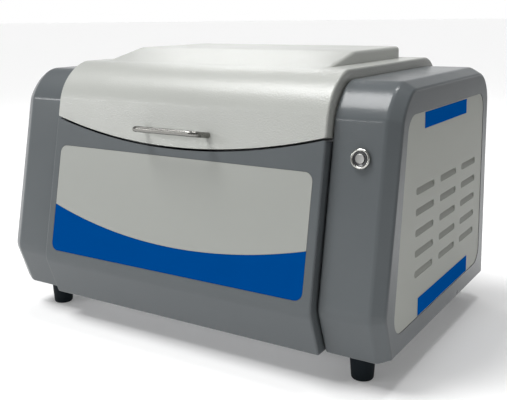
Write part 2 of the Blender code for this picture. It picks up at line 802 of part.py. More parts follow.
def foot_places():
    """Return the two Y places of the feet, front and rear."""
    return CHIN_BOTTOM.x + FOOT_INSET_Y, REAR_Y - FOOT_INSET_Y


def make_feet():
    """Make four tapered rubber feet, each with a stud through the cheek's floor."""
    for x_word, side in (("left", -1), ("right", 1)):
        for y_word, y in zip(("front", "rear"), foot_places()):
            frame = flat_frame(0, side * (HALF_WIDTH - FOOT_INSET_X), y)
            name = f"foot_{y_word}_{x_word}"
            foot = round_bar(name, FOOT_BASE_RADIUS, 0, FOOT_HEIGHT - FIT, frame, top_radius=FOOT_TOP_RADIUS)
            stud = round_bar(
                name + "_stud", FOOT_STUD_RADIUS, FOOT_HEIGHT / 2, FLOOR_TOP_Z - FIT, frame, CUTTERS,
                segments=SMALL_SEGMENTS,
            )
            as_part(fuse(foot, stud), BLACK_RUBBER)


def make_front_cover():
    """Make the front cover: a tray with a chin, shallow side walls and a curved top edge."""
    top = BAND_CREASE + (LID_ARC_HEIGHT + LID_ARC_RISE) * FACE_UP
    back_bottom = BAND_BOTTOM + COVER_RETURN * Vector((1, 0))
    back_crease = BAND_CREASE - COVER_RETURN * CREASE_OUT
    back_top = top - COVER_RETURN * FACE_OUT
    outline = [BAND_BOTTOM, back_bottom, back_crease, back_top, top, BAND_CREASE]
    cover = outline_solid("front_cover", [outline], -BAND_HALF, BAND_HALF, side_frame())
    front = offset_path([top + OVERRUN * FACE_UP, BAND_CREASE, BAND_BOTTOM], -SHELL_WALL, False)
    floor_z = FOOT_HEIGHT + SHELL_WALL
    inner_bottom = front[2] + CHIN_WAY * ((front[2].y - floor_z) / CHIN_HEIGHT)
    back = OVERRUN * Vector((1, 0))
    inside = [
        inner_bottom, Vector((back_bottom.x + OVERRUN, floor_z)), back_crease + back,
        back_top + back + OVERRUN * FACE_UP, front[0], front[1],
    ]
    hollow = outline_solid(
        "front_cover_hollow", [inside], SHELL_WALL - BAND_HALF, BAND_HALF - SHELL_WALL, side_frame(), CUTTERS
    )
    edge = lid_arc(LID_GAP, OVERRUN)
    roof = LID_ARC_HEIGHT + 2 * LID_ARC_RISE
    region = edge + [Vector((edge[-1].x, roof)), Vector((edge[0].x, roof))]
    top_cut = outline_solid(
        "front_cover_top", [region], -2 * COVER_RETURN, COVER_RETURN, face_frame(BAND_PROUD), CUTTERS
    )
    recess = outline_solid(
        "front_cover_recess", [panel_outline(FIT)], -PANEL_RECESS, OVERRUN, face_frame(BAND_PROUD), CUTTERS
    )
    return as_part(cut(cover, hollow, top_cut, recess), GREY_PAINT)


def panel_outline(grow):
    """Return the outline of the whole front panel on the face."""
    centre = (0, (PANEL_LOW + PANEL_HIGH) / 2)
    corners = rectangle(PANEL_WIDTH, PANEL_HIGH - PANEL_LOW, centre)
    return offset_path(rounded(corners, PANEL_CORNER), grow)


def sweep_line(lift):
    """Return the blue sweep's upper edge on the face, left to right, past both sides of the panel."""
    half = PANEL_WIDTH / 2 + OVERRUN
    points = []
    for index in range(2 * ARC_STEPS + 1):
        x = -half + 2 * half * index / (2 * ARC_STEPS)
        drop = SWEEP_RADIUS - math.sqrt(SWEEP_RADIUS ** 2 - (x - SWEEP_OFFSET) ** 2)
        points.append(Vector((x, SWEEP_HEIGHT + drop + lift)))
    return points


def make_front_panels():
    """Make the light front panel and the blue sweep below it, both in the cover's recess."""
    low = FIT - PANEL_RECESS
    high = low + PANEL_THICKNESS
    frame = face_frame(BAND_PROUD)
    light = outline_solid("front_panel", [panel_outline(0)], low, high, frame)
    blue = outline_solid("front_panel_sweep", [panel_outline(0)], low, high, frame)
    under = sweep_line(FIT / 2)
    below = [Vector((under[0].x, -OVERRUN)), Vector((under[-1].x, -OVERRUN))] + under[::-1]
    over = sweep_line(-FIT / 2)
    roof = PANEL_HIGH + OVERRUN
    above = over + [Vector((over[-1].x, roof)), Vector((over[0].x, roof))]
    low_cut, high_cut = low - OVERRUN, high + OVERRUN
    cut(light, outline_solid("sweep_region", [below], low_cut, high_cut, frame, CUTTERS))
    cut(blue, outline_solid("panel_region", [above], low_cut, high_cut, frame, CUTTERS))
    as_part(light, LIGHT_PAINT)
    as_part(blue, BLUE_FILM)


def plateau_block(name, inset):
    """Return the plateau's solid, drawn in by inset: its side profile, trimmed to its plan."""
    front_y = LID_BROW_END.x + PLATEAU_FRONT_SETBACK + inset
    rear_y = LID_REAR_Y - PLATEAU_REAR_SETBACK - inset
    half = PLATEAU_WIDTH / 2 - inset
    top_z = BAND_TOP_Z + PLATEAU_RISE - inset
    under_z = BAND_TOP_Z - SHELL_WALL - inset
    toe_y = front_y - SHELL_WALL * PLATEAU_SLOPE / PLATEAU_RISE
    side = [
        Vector((toe_y, under_z)), Vector((rear_y + OVERRUN, under_z)), Vector((rear_y + OVERRUN, top_z)),
        Vector((front_y + PLATEAU_SLOPE, top_z)),
    ]
    block = outline_solid(name, [side], -half - OVERRUN, half + OVERRUN, side_frame(), CUTTERS)
    plan_front = toe_y - PLATEAU_CORNER
    plan = rounded(
        rectangle(2 * half, rear_y - plan_front, (0, (plan_front + rear_y) / 2)), PLATEAU_CORNER - inset
    )
    trim = outline_solid(
        name + "_plan", [plan], BAND_TOP_Z - LID_RIM_DEPTH, BAND_TOP_Z + PLATEAU_RISE + OVERRUN,
        flat_frame(), CUTTERS,
    )
    return combine(block, "INTERSECT", trim)


def edge_region(name, lift):
    """Return the cutter below the lid's curved edge, the edge raised by lift."""
    edge = lid_arc(-lift, OVERRUN)
    region = [Vector((edge[0].x, 0)), Vector((edge[-1].x, 0))] + edge[::-1]
    return outline_solid(name, [region], -2 * LID_RIM_DEPTH, OVERRUN, face_frame(BAND_PROUD), CUTTERS)


def make_lid_shell():
    """Make the lid: a shell over the top and the curved front, with side rims and a raised plateau."""
    lid = outline_solid("lid_shell", [lid_outline()], -BAND_HALF, BAND_HALF, side_frame())
    hollow = outline_solid(
        "lid_hollow", [lid_cavity()], SHELL_WALL - BAND_HALF, BAND_HALF - SHELL_WALL, side_frame(), CUTTERS
    )
    cut(hollow, edge_region("lid_front_return", SHELL_WALL))
    fuse(lid, plateau_block("plateau", 0))
    cut(lid, hollow, plateau_block("plateau_hollow", SHELL_WALL), edge_region("lid_edge", 0))
    for side in (-1, 1):
        cut(lid, round_bar(
            f"lid_screw_hole_{side}", HANDLE_SCREW_RADIUS + HANDLE_SCREW_CLEARANCE, -SHELL_WALL - OVERRUN,
            OVERRUN, handle_frame(side), CUTTERS, segments=SMALL_SEGMENTS,
        ))
    return as_part(lid, LIGHT_PAINT)


def lid_cavity():
    """Return the outline of the lid's inside, open below."""
    wall = offset_path(lid_profile(), -SHELL_WALL, closed=False)
    deep = band_line(LID_REAR_Y - SHELL_WALL, LID_RIM_DEPTH + OVERRUN)
    foot = Vector((LID_REAR_Y - SHELL_WALL, LID_REAR_BOTTOM_Z - OVERRUN))
    return [foot, *wall[1:], *deep[:0:-1]]


def band_line(rear_y, depth):
    """Return the line (y, z) at a depth under the lid, flat from rear_y, then over its brow and front."""
    line = [
        Vector((rear_y, BAND_TOP_Z)),
        *arc_between(LID_BROW_END, LID_BROW_START, LID_BROW_RADIUS),
        BAND_FRONT_EDGE,
    ]
    return offset_path(line, -depth, closed=False)


def make_lid_liner():
    """Make the liner that closes the lid from inside, a sheet that follows its top and front."""
    half = BAND_HALF - SHELL_WALL - FIT
    rear_y = LID_REAR_Y - SHELL_WALL - FIT
    shape = band_line(rear_y, LID_LINER_DEPTH) + band_line(rear_y, LID_LINER_DEPTH + SHEET)[::-1]
    liner = outline_solid("lid_liner", [shape], -half, half, side_frame())
    return as_part(cut(liner, edge_region("lid_liner_edge", SHELL_WALL + FIT)), ZINC_SHEET)


def rear_cover_path():
    """Return the outer line (y, z) of the rear top cover, from the rear panel up to its inner edge."""
    centre = (REAR_Y - REAR_ROUND, TOP_Z - REAR_ROUND)
    shelf_z = BAND_TOP_Z - LID_RIM_DEPTH - LID_CLEARANCE
    reach = math.degrees(math.asin((shelf_z - centre[1]) / REAR_ROUND))
    curve = arc(centre, REAR_ROUND, 0, reach)
    return [curve[0] + FIT * Vector((0, 1)), *curve[1:], Vector((REAR_Y - DECK_REAR_GAP - SHEET, shelf_z))]


def make_rear_top_cover():
    """Make the rounded sheet between the rear panel and the deck, under the lid's rear wall."""
    outer = rear_cover_path()
    inner = offset_path(outer, -SHEET, closed=False)
    half = CHEEK_INNER_X - FIT
    cover = outline_solid("rear_top_cover", [outer + inner[::-1]], -half, half, side_frame())
    return as_part(cover, GREY_PAINT)


def handle_frame(side):
    """Return the frame at the foot of one handle leg, Z outward from the lid's front."""
    return face_frame(BAND_PROUD) @ Matrix.Translation((side * HANDLE_SPAN / 2, HANDLE_UP_FACE, 0))


def make_handle():
    """Make the bow handle from one bent rod, with a blind hole in each leg, and its two screws."""
    curve = bpy.data.curves.new("handle", "CURVE")
    curve.dimensions = "3D"
    curve.bevel_depth = HANDLE_ROD_RADIUS
    curve.bevel_resolution = 3
    curve.use_fill_caps = True
    half = HANDLE_SPAN / 2
    bend_left = arc((HANDLE_BEND - half, HANDLE_STANDOFF - HANDLE_BEND), HANDLE_BEND, 180, 90, 5)
    bend_right = arc((half - HANDLE_BEND, HANDLE_STANDOFF - HANDLE_BEND), HANDLE_BEND, 90, 0, 5)
    route = [Vector((-half, FIT)), *bend_left, *bend_right, Vector((half, FIT))]
    spline = curve.splines.new("POLY")
    spline.points.add(len(route) - 1)
    for point, place in zip(spline.points, route):
        point.co = (place.x, 0, place.y, 1)
    frame = face_frame(BAND_PROUD) @ Matrix.Translation((0, HANDLE_UP_FACE, 0))
    handle = mesh_of_curve("handle", curve, frame, PARTS)
    depth = HANDLE_SCREW_LENGTH - SHELL_WALL + HANDLE_SCREW_CLEARANCE
    for word, side in (("left", -1), ("right", 1)):
        frame = handle_frame(side)
        cut(handle, round_bar(
            f"handle_hole_{word}", HANDLE_SCREW_RADIUS + HANDLE_SCREW_CLEARANCE / 3, FIT - OVERRUN, depth,
            frame, CUTTERS, segments=SMALL_SEGMENTS,
        ))
        name = f"handle_screw_{word}"
        shank = round_bar(
            name, HANDLE_SCREW_RADIUS, -SHELL_WALL - FIT - HANDLE_SCREW_HEAD_HEIGHT,
            HANDLE_SCREW_LENGTH - SHELL_WALL, frame, segments=SMALL_SEGMENTS,
        )
        head = round_bar(
            name + "_head", HANDLE_SCREW_HEAD_RADIUS, -SHELL_WALL - FIT - HANDLE_SCREW_HEAD_HEIGHT,
            -SHELL_WALL - FIT, frame, CUTTERS, segments=SMALL_SEGMENTS,
        )
        as_part(fuse(shank, head), ZINC_SHEET)
    as_part(handle, STAINLESS)


def button_frame():
    """Return the frame of the power button on the right cheek's front face, Z outward."""
    x = HALF_WIDTH - BUTTON_INSET
    return face_frame() @ Matrix.Translation((x, BUTTON_HEIGHT, 0))


def make_power_button():
    """Make the power button: a bezel with its barrel, the nut behind the wall, and the sprung cap."""
    frame = button_frame()
    bezel = round_bar("power_button_bezel", BEZEL_RADIUS, FIT, BEZEL_PROUD - BEZEL_CHAMFER, frame)
    crown = round_bar(
        "bezel_crown", BEZEL_RADIUS, BEZEL_PROUD - BEZEL_CHAMFER - FIT, BEZEL_PROUD, frame, CUTTERS,
        top_radius=BEZEL_RADIUS - BEZEL_CHAMFER,
    )
    barrel = round_bar(
        "bezel_barrel", BUTTON_BARREL_RADIUS, -BUTTON_BARREL_LENGTH, FIT + OVERRUN / 2, frame, CUTTERS
    )
    dish = round_bar(
        "bezel_dish", BUTTON_CAP_RADIUS, BEZEL_PROUD - OVERRUN, BEZEL_PROUD + OVERRUN, frame, CUTTERS,
        top_radius=BEZEL_FLAT * 2 - BUTTON_CAP_RADIUS,
    )
    bore = round_bar(
        "bezel_bore", BUTTON_CAP_RADIUS + BUTTON_RUNNING, -BUTTON_CAP_LENGTH - BUTTON_TRAVEL - FIT,
        BEZEL_PROUD + OVERRUN, frame, CUTTERS,
    )
    fuse(bezel, crown, barrel)
    as_part(cut(bezel, dish, bore), STAINLESS)
    cap_top = BEZEL_PROUD - OVERRUN + BUTTON_CAP_PROUD
    as_part(round_bar(
        "power_button_cap", BUTTON_CAP_RADIUS, -BUTTON_CAP_LENGTH, cap_top, frame
    ), STAINLESS)
    nut = round_bar(
        "power_button_nut", BUTTON_NUT_ACROSS / 2, -SHELL_WALL - FIT - BUTTON_NUT_THICKNESS,
        -SHELL_WALL - FIT, frame, segments=6,
    )
    hole = round_bar(
        "button_nut_hole", BUTTON_BARREL_RADIUS + FIT / 2, -BUTTON_BARREL_LENGTH, OVERRUN, frame, CUTTERS
    )
    as_part(cut(nut, hole), ZINC_SHEET)


def make_hinge(side, word):
    """Make one lift-off hinge: a body leaf with its fixed pin, and a lid leaf with its knuckle."""
    middle = side * (BAND_HALF - HINGE_INSET_X)
    frame = side_frame() @ Matrix.Translation((HINGE_Y, HINGE_Z, 0))
    low, high = middle - HINGE_LENGTH / 2, middle + HINGE_LENGTH / 2
    split = low + HINGE_LENGTH * HINGE_KNUCKLE_SHARE
    rear_y = HINGE_Y + HINGE_BARREL_RADIUS
    body_name, lid_name = f"hinge_body_leaf_{word}", f"hinge_lid_leaf_{word}"
    body = box(
        body_name, (low, REAR_Y + FIT, HINGE_Z - HINGE_BODY_LEAF_HEIGHT),
        (high, rear_y, HINGE_Z - HINGE_LEAF_DROP),
    )
    tab = box(
        body_name + "_tab", (low, rear_y - HINGE_LEAF, HINGE_Z - HINGE_LEAF_DROP - OVERRUN),
        (split - FIT, rear_y, HINGE_Z), None, CUTTERS,
    )
    barrel = round_bar(
        body_name + "_barrel", HINGE_BARREL_RADIUS, low, split - FIT, frame, CUTTERS, segments=SMALL_SEGMENTS
    )
    pin = round_bar(
        body_name + "_pin", HINGE_PIN_RADIUS, low + OVERRUN, high - OVERRUN, frame, CUTTERS,
        segments=SMALL_SEGMENTS,
    )
    as_part(fuse(body, tab, barrel, pin), STAINLESS)
    leaf = round_bar(lid_name, HINGE_BARREL_RADIUS, split + FIT, high, frame, segments=SMALL_SEGMENTS)
    plate = box(
        lid_name + "_plate", (low, LID_REAR_Y + FIT, HINGE_Z + FIT),
        (high, LID_REAR_Y + FIT + HINGE_LEAF, HINGE_Z + HINGE_LID_LEAF_HEIGHT), None, CUTTERS,
    )
    web = box(
        lid_name + "_web", (split + FIT, LID_REAR_Y + FIT, HINGE_Z - FIT),
        (high, HINGE_Y, HINGE_Z + HINGE_LEAF), None, CUTTERS,
    )
    bore = round_bar(
        lid_name + "_bore", HINGE_PIN_RADIUS + HINGE_RUNNING, low - OVERRUN, high + OVERRUN, frame, CUTTERS,
        segments=SMALL_SEGMENTS,
    )
    as_part(cut(fuse(leaf, plate, web), bore), STAINLESS)


def make_base_tray():
    """Make the base tray, a folded pan between the cheeks with a tongue over the front cover's floor."""
    half = CHEEK_INNER_X - FIT
    front, rear = BAND_BOTTOM.x + COVER_RETURN + FIT, REAR_Y - REAR_PANEL_THICKNESS - FIT
    tray = box("base_tray", (-half, front, FLOOR_TOP_Z), (half, rear, TRAY_TOP_Z + TRAY_FLANGE))
    inside = box(
        "base_tray_inside", (SHEET - half, front + SHEET, TRAY_TOP_Z),
        (half - SHEET, rear - SHEET, TRAY_TOP_Z + TRAY_FLANGE + OVERRUN), None, CUTTERS,
    )
    tongue_half = BAND_HALF - SHELL_WALL - FIT
    tongue = box(
        "base_tray_tongue", (-tongue_half, BAND_BOTTOM.x + COVER_RETURN / 2, FLOOR_TOP_Z),
        (tongue_half, front + SHEET / 2, TRAY_TOP_Z), None, CUTTERS,
    )
    return as_part(fuse(cut(tray, inside), tongue), ZINC_SHEET)


def stage_centre():
    """Return the place of the sample window, at the stage's top."""
    front_y = band_line(REAR_Y, DECK_DEPTH)[-1].x
    middle = (front_y + REAR_Y - DECK_REAR_GAP) / 2 + STAGE_OFFSET_Y
    return Vector((0, middle, DECK_TOP_Z + FIT + STAGE_THICKNESS))


def make_sample_deck():
    """Make the deck: a floor with side and rear walls, open in front, and an apron below its front edge."""
    half = CHEEK_INNER_X - FIT
    rear_y = REAR_Y - DECK_REAR_GAP
    line = band_line(rear_y, DECK_DEPTH)
    front = line[-1] + FACE_UP * ((DECK_BOTTOM_Z - line[-1].y) / FACE_UP.y)
    deck = outline_solid(
        "sample_deck", [[front, Vector((rear_y, DECK_BOTTOM_Z)), *line[:-1]]], -half, half, side_frame()
    )
    inside = box(
        "sample_deck_inside", (SHEET - half, front.x - OVERRUN - DECK_APRON, DECK_TOP_Z),
        (half - SHEET, rear_y - SHEET, BAND_TOP_Z), None, CUTTERS,
    )
    apron = box(
        "sample_deck_apron", (-half, front.x, DECK_BOTTOM_Z - DECK_APRON),
        (half, front.x + SHEET, DECK_BOTTOM_Z + SHEET / 2), None, CUTTERS,
    )
    centre = stage_centre()
    well = round_bar(
        "sample_deck_well", DECK_WELL_RADIUS, DECK_BOTTOM_Z - OVERRUN, DECK_TOP_Z + OVERRUN,
        flat_frame(0, centre.x, centre.y), CUTTERS,
    )
    return as_part(cut(fuse(deck, apron), inside, well), ZINC_SHEET)


def make_stage():
    """Make the stage plate with its window: a film held in a seat by a ring."""
    centre = stage_centre()
    frame = flat_frame(centre.z, centre.x, centre.y)
    plan = rounded(rectangle(STAGE_WIDTH, STAGE_DEPTH), STAGE_CORNER)
    plate = outline_solid("stage_plate", [plan], -STAGE_THICKNESS, 0, frame)
    seat = round_bar(
        "stage_seat", WINDOW_RING_RADIUS + FIT, -2 * FIT - WINDOW_FILM - FIT, OVERRUN, frame, CUTTERS
    )
    hole = round_bar("stage_hole", WINDOW_RADIUS, -STAGE_THICKNESS - OVERRUN, OVERRUN, frame, CUTTERS)
    as_part(cut(plate, seat, hole), ALUMINIUM)
    film_low = -2 * FIT - WINDOW_FILM
    film_radius = (WINDOW_RADIUS + WINDOW_RING_RADIUS) / 2
    as_part(round_bar("window_film", film_radius, film_low, -2 * FIT, frame), CLEAR_FILM)
    ring = round_bar(
        "window_ring", WINDOW_RING_RADIUS, -FIT, WINDOW_RING_THICKNESS - FIT, frame,
        top_radius=WINDOW_RING_RADIUS - WINDOW_RING_THICKNESS / 2,
    )
    bore = round_bar(
        "window_ring_bore", WINDOW_RADIUS, -OVERRUN, WINDOW_RING_THICKNESS + OVERRUN, frame, CUTTERS
    )
    as_part(cut(ring, bore), STAINLESS)


def beam_frame(side):
    """Return the frame at the window whose Z runs down one beam: the tube's (-1) or the detector's (+1)."""
    along = Vector((side * math.sin(BEAM_ANGLE), 0, -math.cos(BEAM_ANGLE)))
    y_axis = Vector((0, 1, 0))
    return frame_at(stage_centre(), y_axis.cross(along), y_axis)


def make_optics_bracket():
    """Make the V bracket under the deck that holds the tube, the detector and the camera."""
    centre = stage_centre()
    top = DECK_BOTTOM_Z - FIT - centre.z
    slope_x = OPTICS_ALONG / math.sin(BEAM_ANGLE)
    nose = BRACKET_NOSE_WIDTH / 2
    tan = math.tan(BEAM_ANGLE)
    bottom = (nose - slope_x) * tan
    shoulder = slope_x + top / tan
    right_half = [Vector((nose, bottom)), Vector((shoulder, top)), Vector((shoulder + BRACKET_FLANGE, top))]
    left_half = [Vector((-point.x, point.y)) for point in right_half[::-1]]
    line = left_half + right_half
    under = offset_path(line, BRACKET_PLATE, closed=False)
    frame = frame_at(centre, (1, 0, 0), (0, 0, 1))
    bracket = outline_solid(
        "optics_bracket", [under + line[::-1]], -BRACKET_DEPTH / 2, BRACKET_DEPTH / 2, frame
    )
    for side, radius in ((-1, TUBE_NOSE_RADIUS), (1, DETECTOR_NOSE_RADIUS)):
        cut(bracket, round_bar(
            f"bracket_hole_{side}", radius + NOSE_CLEARANCE, OPTICS_ALONG - OVERRUN,
            OPTICS_ALONG + BRACKET_PLATE + OVERRUN, beam_frame(side), CUTTERS, segments=SMALL_SEGMENTS,
        ))
    lens_hole = round_bar(
        "bracket_lens_hole", CAMERA_LENS_RADIUS + NOSE_CLEARANCE, bottom - BRACKET_PLATE - OVERRUN,
        bottom + OVERRUN, Matrix.Translation(centre), CUTTERS, segments=SMALL_SEGMENTS,
    )
    as_part(cut(bracket, lens_hole), ALUMINIUM)
    low = bottom - BRACKET_PLATE - FIT
    half = CAMERA_SIDE / 2
    upright = Matrix.Translation(centre)
    camera = box("sample_camera", (-half, -half, low - CAMERA_LENGTH), (half, half, low), upright)
    lens = round_bar(
        "camera_lens", CAMERA_LENS_RADIUS, low - OVERRUN, low + CAMERA_LENS_LENGTH, upright, CUTTERS,
        segments=SMALL_SEGMENTS,
    )
    as_part(fuse(camera, lens), BLACK_PLASTIC)


def make_tube_and_detector():
    """Make the x-ray tube on the left beam and the detector with its preamplifier on the right."""
    seat = OPTICS_ALONG + BRACKET_PLATE + FIT
    frame = beam_frame(-1)
    tube = round_bar("xray_tube", TUBE_RADIUS, seat, seat + TUBE_LENGTH, frame)
    nose = round_bar(
        "tube_nose", TUBE_NOSE_RADIUS, seat - TUBE_NOSE_LENGTH, seat + OVERRUN, frame, CUTTERS,
        segments=SMALL_SEGMENTS,
    )
    as_part(fuse(tube, nose), STAINLESS)
    frame = beam_frame(1)
    body = round_bar("detector", DETECTOR_RADIUS, seat, seat + DETECTOR_LENGTH + OVERRUN, frame)
    nose = round_bar(
        "detector_nose", DETECTOR_NOSE_RADIUS, seat - DETECTOR_NOSE_LENGTH, seat + OVERRUN, frame, CUTTERS,
        segments=SMALL_SEGMENTS,
    )
    low = seat + DETECTOR_LENGTH
    preamp = box(
        "preamplifier", (-PREAMP_WIDTH / 2, -PREAMP_DEPTH / 2, low),
        (PREAMP_WIDTH / 2, PREAMP_DEPTH / 2, low + PREAMP_LENGTH), frame, CUTTERS,
    )
    as_part(fuse(body, nose, preamp), ALUMINIUM)


def filter_frame():
    """Return the filter wheel's frame: its axis runs beside the tube's beam and along it."""
    return beam_frame(-1) @ Matrix.Translation((0, FILTER_HOLE_CIRCLE, 0))


def make_filter_wheel():
    """Make the filter wheel with its shaft, and the motor that holds the shaft on the bracket."""
    frame = filter_frame()
    motor_high = OPTICS_ALONG - FIT
    motor_low = motor_high - MOTOR_LENGTH
    wheel_high = motor_low - FILTER_GAP
    wheel_low = wheel_high - FILTER_THICKNESS
    wheel = round_bar("filter_wheel", FILTER_RADIUS, wheel_low, wheel_high, frame)
    shaft = round_bar(
        "filter_shaft", FILTER_SHAFT_RADIUS, wheel_low + FIT, motor_high - FIT, frame, CUTTERS,
        segments=SMALL_SEGMENTS,
    )
    fuse(wheel, shaft)
    for index in range(FILTER_HOLES):
        turn = Matrix.Rotation(2 * math.pi * index / FILTER_HOLES, 4, "Z")
        hole_frame = frame @ turn @ Matrix.Translation((0, -FILTER_HOLE_CIRCLE, 0))
        cut(wheel, round_bar(
            f"filter_hole_{index}", FILTER_HOLE_RADIUS, wheel_low - OVERRUN / 4, wheel_high + OVERRUN / 4,
            hole_frame, CUTTERS, segments=SMALL_SEGMENTS,
        ))
    as_part(wheel, ALUMINIUM)
    half = MOTOR_SIDE / 2
    motor = box("filter_motor", (-half, -half, motor_low), (half, half, motor_high), frame)
    bore = round_bar(
        "motor_bore", FILTER_SHAFT_RADIUS + FILTER_SHAFT_RUNNING, motor_low - OVERRUN, motor_high + OVERRUN,
        frame, CUTTERS, segments=SMALL_SEGMENTS,
    )
    as_part(cut(motor, bore), BLACK_PLASTIC)


def make_shield_box():
    """Make the radiation shield, an open-topped box under the deck round the optics."""
    centre = stage_centre()
    top = DECK_BOTTOM_Z - FIT
    half_x, half_y = SHIELD_WIDTH / 2, SHIELD_DEPTH / 2
    shield = box(
        "shield_box", (-half_x, centre.y - half_y, top - SHIELD_HEIGHT), (half_x, centre.y + half_y, top)
    )
    inside = box(
        "shield_inside", (SHEET - half_x, centre.y - half_y + SHEET, top - SHIELD_HEIGHT + SHEET),
        (half_x - SHEET, centre.y + half_y - SHEET, top + OVERRUN), None, CUTTERS,
    )
    return as_part(cut(shield, inside), ZINC_SHEET)


def make_electronics():
    """Make the high-voltage generator, the power supply and the pulse processor board on the tray."""
    floor = TRAY_TOP_Z + FIT
    for name, side, width, depth, height, look in (
        ("hv_generator", -1, GENERATOR_WIDTH, GENERATOR_DEPTH, GENERATOR_HEIGHT, GREY_PAINT),
        ("power_supply", 1, SUPPLY_WIDTH, SUPPLY_DEPTH, SUPPLY_HEIGHT, ZINC_SHEET),
    ):
        near, far = sorted((side * BOX_FROM_CENTRE_X, side * (BOX_FROM_CENTRE_X + width)))
        middle_y = -BOX_FROM_CENTRE_Y
        made = box(name, (near, middle_y - depth / 2, floor), (far, middle_y + depth / 2, floor + height))
        bevel = made.modifiers.new("edges", "BEVEL")
        bevel.width = SHEET
        bevel.segments = 1
        as_part(made, look)
    rear = REAR_Y - REAR_PANEL_THICKNESS - BOARD_SETBACK
    low = floor + BOARD_STANDOFF
    half = BOARD_WIDTH / 2
    board = box(
        "pulse_processor_board", (-half, rear - BOARD_DEPTH, low), (half, rear, low + BOARD_THICKNESS)
    )
    for x in (BOARD_STANDOFF_INSET - half, half - BOARD_STANDOFF_INSET):
        for y in (rear - BOARD_DEPTH + BOARD_STANDOFF_INSET, rear - BOARD_STANDOFF_INSET):
            fuse(board, round_bar(
                "board_standoff", BOARD_STANDOFF_RADIUS, floor, low + BOARD_THICKNESS / 2,
                flat_frame(0, x, y), CUTTERS, segments=SMALL_SEGMENTS // 2,
            ))
    for index in (-1, 0, 1):
        x = index * BOARD_CHIP_SIDE * 3 / 2
        y = rear - BOARD_DEPTH / 2
        chip_half = BOARD_CHIP_SIDE / 2
        fuse(board, box(
            "board_chip", (x - chip_half, y - chip_half, low + BOARD_THICKNESS / 2),
            (x + chip_half, y + chip_half, low + BOARD_THICKNESS + BOARD_CHIP_HEIGHT), None, CUTTERS,
        ))
    as_part(board, BOARD_GREEN)


def make_interlock():
    """Make the lid interlock: a reed sensor under the rear shelf, and a magnet on the lid's liner."""
    rear_y = REAR_Y - DECK_REAR_GAP
    shelf_z = rear_cover_path()[-1].y
    top = shelf_z - SHEET - FIT
    half = REED_WIDTH / 2
    as_part(box(
        "reed_sensor", (INTERLOCK_OFFSET_X - half, rear_y + FIT, top - REED_HEIGHT),
        (INTERLOCK_OFFSET_X + half, rear_y + FIT + REED_DEPTH, top),
    ), BLACK_PLASTIC)
    low = BAND_TOP_Z - LID_LINER_DEPTH + FIT
    half = MAGNET_WIDTH / 2
    as_part(box(
        "interlock_magnet", (INTERLOCK_OFFSET_X - half, rear_y - MAGNET_DEPTH / 2, low),
        (INTERLOCK_OFFSET_X + half, rear_y + MAGNET_DEPTH / 2, low + MAGNET_HEIGHT),
    ), ZINC_SHEET)


def fan_frame_at(side):
    """Return one fan's frame on the inside of the rear panel, Z pointing into the machine."""
    y = REAR_Y - REAR_PANEL_THICKNESS
    return frame_at((side * FAN_X, y, FAN_HEIGHT), (1, 0, 0), (0, 0, 1))


def make_fan(side, word):
    """Make one cooling fan: its frame, its rotor and the finger guard outside the panel."""
    frame = fan_frame_at(side)
    bore = arc((0, 0), FAN_BORE_RADIUS, 0, 360 - 360 / ROUND_SEGMENTS, ROUND_SEGMENTS - 1)
    housing = outline_solid(
        f"fan_frame_{word}", [rectangle(FAN_SIDE, FAN_SIDE), bore], FIT, FAN_DEPTH, frame
    )
    low = FAN_DEPTH - FAN_BACK_PLATE
    reach = FAN_BORE_RADIUS + OVERRUN / 2
    for index, (x, y) in enumerate(((reach, FAN_ARM_WIDTH / 2), (FAN_ARM_WIDTH / 2, reach))):
        fuse(housing, box(f"fan_arm_{word}_{index}", (-x, -y, low), (x, y, FAN_DEPTH), frame, CUTTERS))
    fuse(housing, round_bar(f"fan_base_{word}", FAN_HUB_RADIUS, low, FAN_DEPTH, frame, CUTTERS))
    cut(housing, round_bar(
        f"fan_shaft_hole_{word}", FAN_SHAFT_RADIUS + FAN_SHAFT_RUNNING, low - OVERRUN, FAN_DEPTH + OVERRUN,
        frame, CUTTERS, segments=SMALL_SEGMENTS,
    ))
    as_part(housing, BLACK_PLASTIC)
    hub_low, hub_high = FIT + FAN_ROTOR_CLEARANCE, low - FAN_ROTOR_CLEARANCE
    rotor = round_bar(f"fan_rotor_{word}", FAN_HUB_RADIUS, hub_low, hub_high, frame)
    tip = FAN_BORE_RADIUS - FAN_TIP_CLEARANCE
    for index in range(FAN_BLADES):
        turn = Matrix.Rotation(2 * math.pi * index / FAN_BLADES, 4, "Z")
        lean = Matrix.Rotation(FAN_BLADE_PITCH, 4, "X")
        place = frame @ turn @ Matrix.Translation((0, 0, (hub_low + hub_high) / 2)) @ lean
        fuse(rotor, box(
            f"fan_blade_{word}_{index}",
            (FAN_HUB_RADIUS - OVERRUN, -FAN_BLADE_CHORD / 2, -FAN_BLADE_THICKNESS / 2),
            (tip, FAN_BLADE_CHORD / 2, FAN_BLADE_THICKNESS / 2), place, CUTTERS,
        ))
    fuse(rotor, round_bar(
        f"fan_shaft_{word}", FAN_SHAFT_RADIUS, hub_high - OVERRUN, FAN_DEPTH - FIT, frame, CUTTERS,
        segments=SMALL_SEGMENTS,
    ))
    as_part(rotor, BLACK_PLASTIC)
    guard_low = -REAR_PANEL_THICKNESS - FIT - GUARD_THICKNESS
    as_part(outline_solid(
        f"fan_guard_{word}", guard_loops(), guard_low, guard_low + GUARD_THICKNESS, frame
    ), BLACK_PLASTIC)


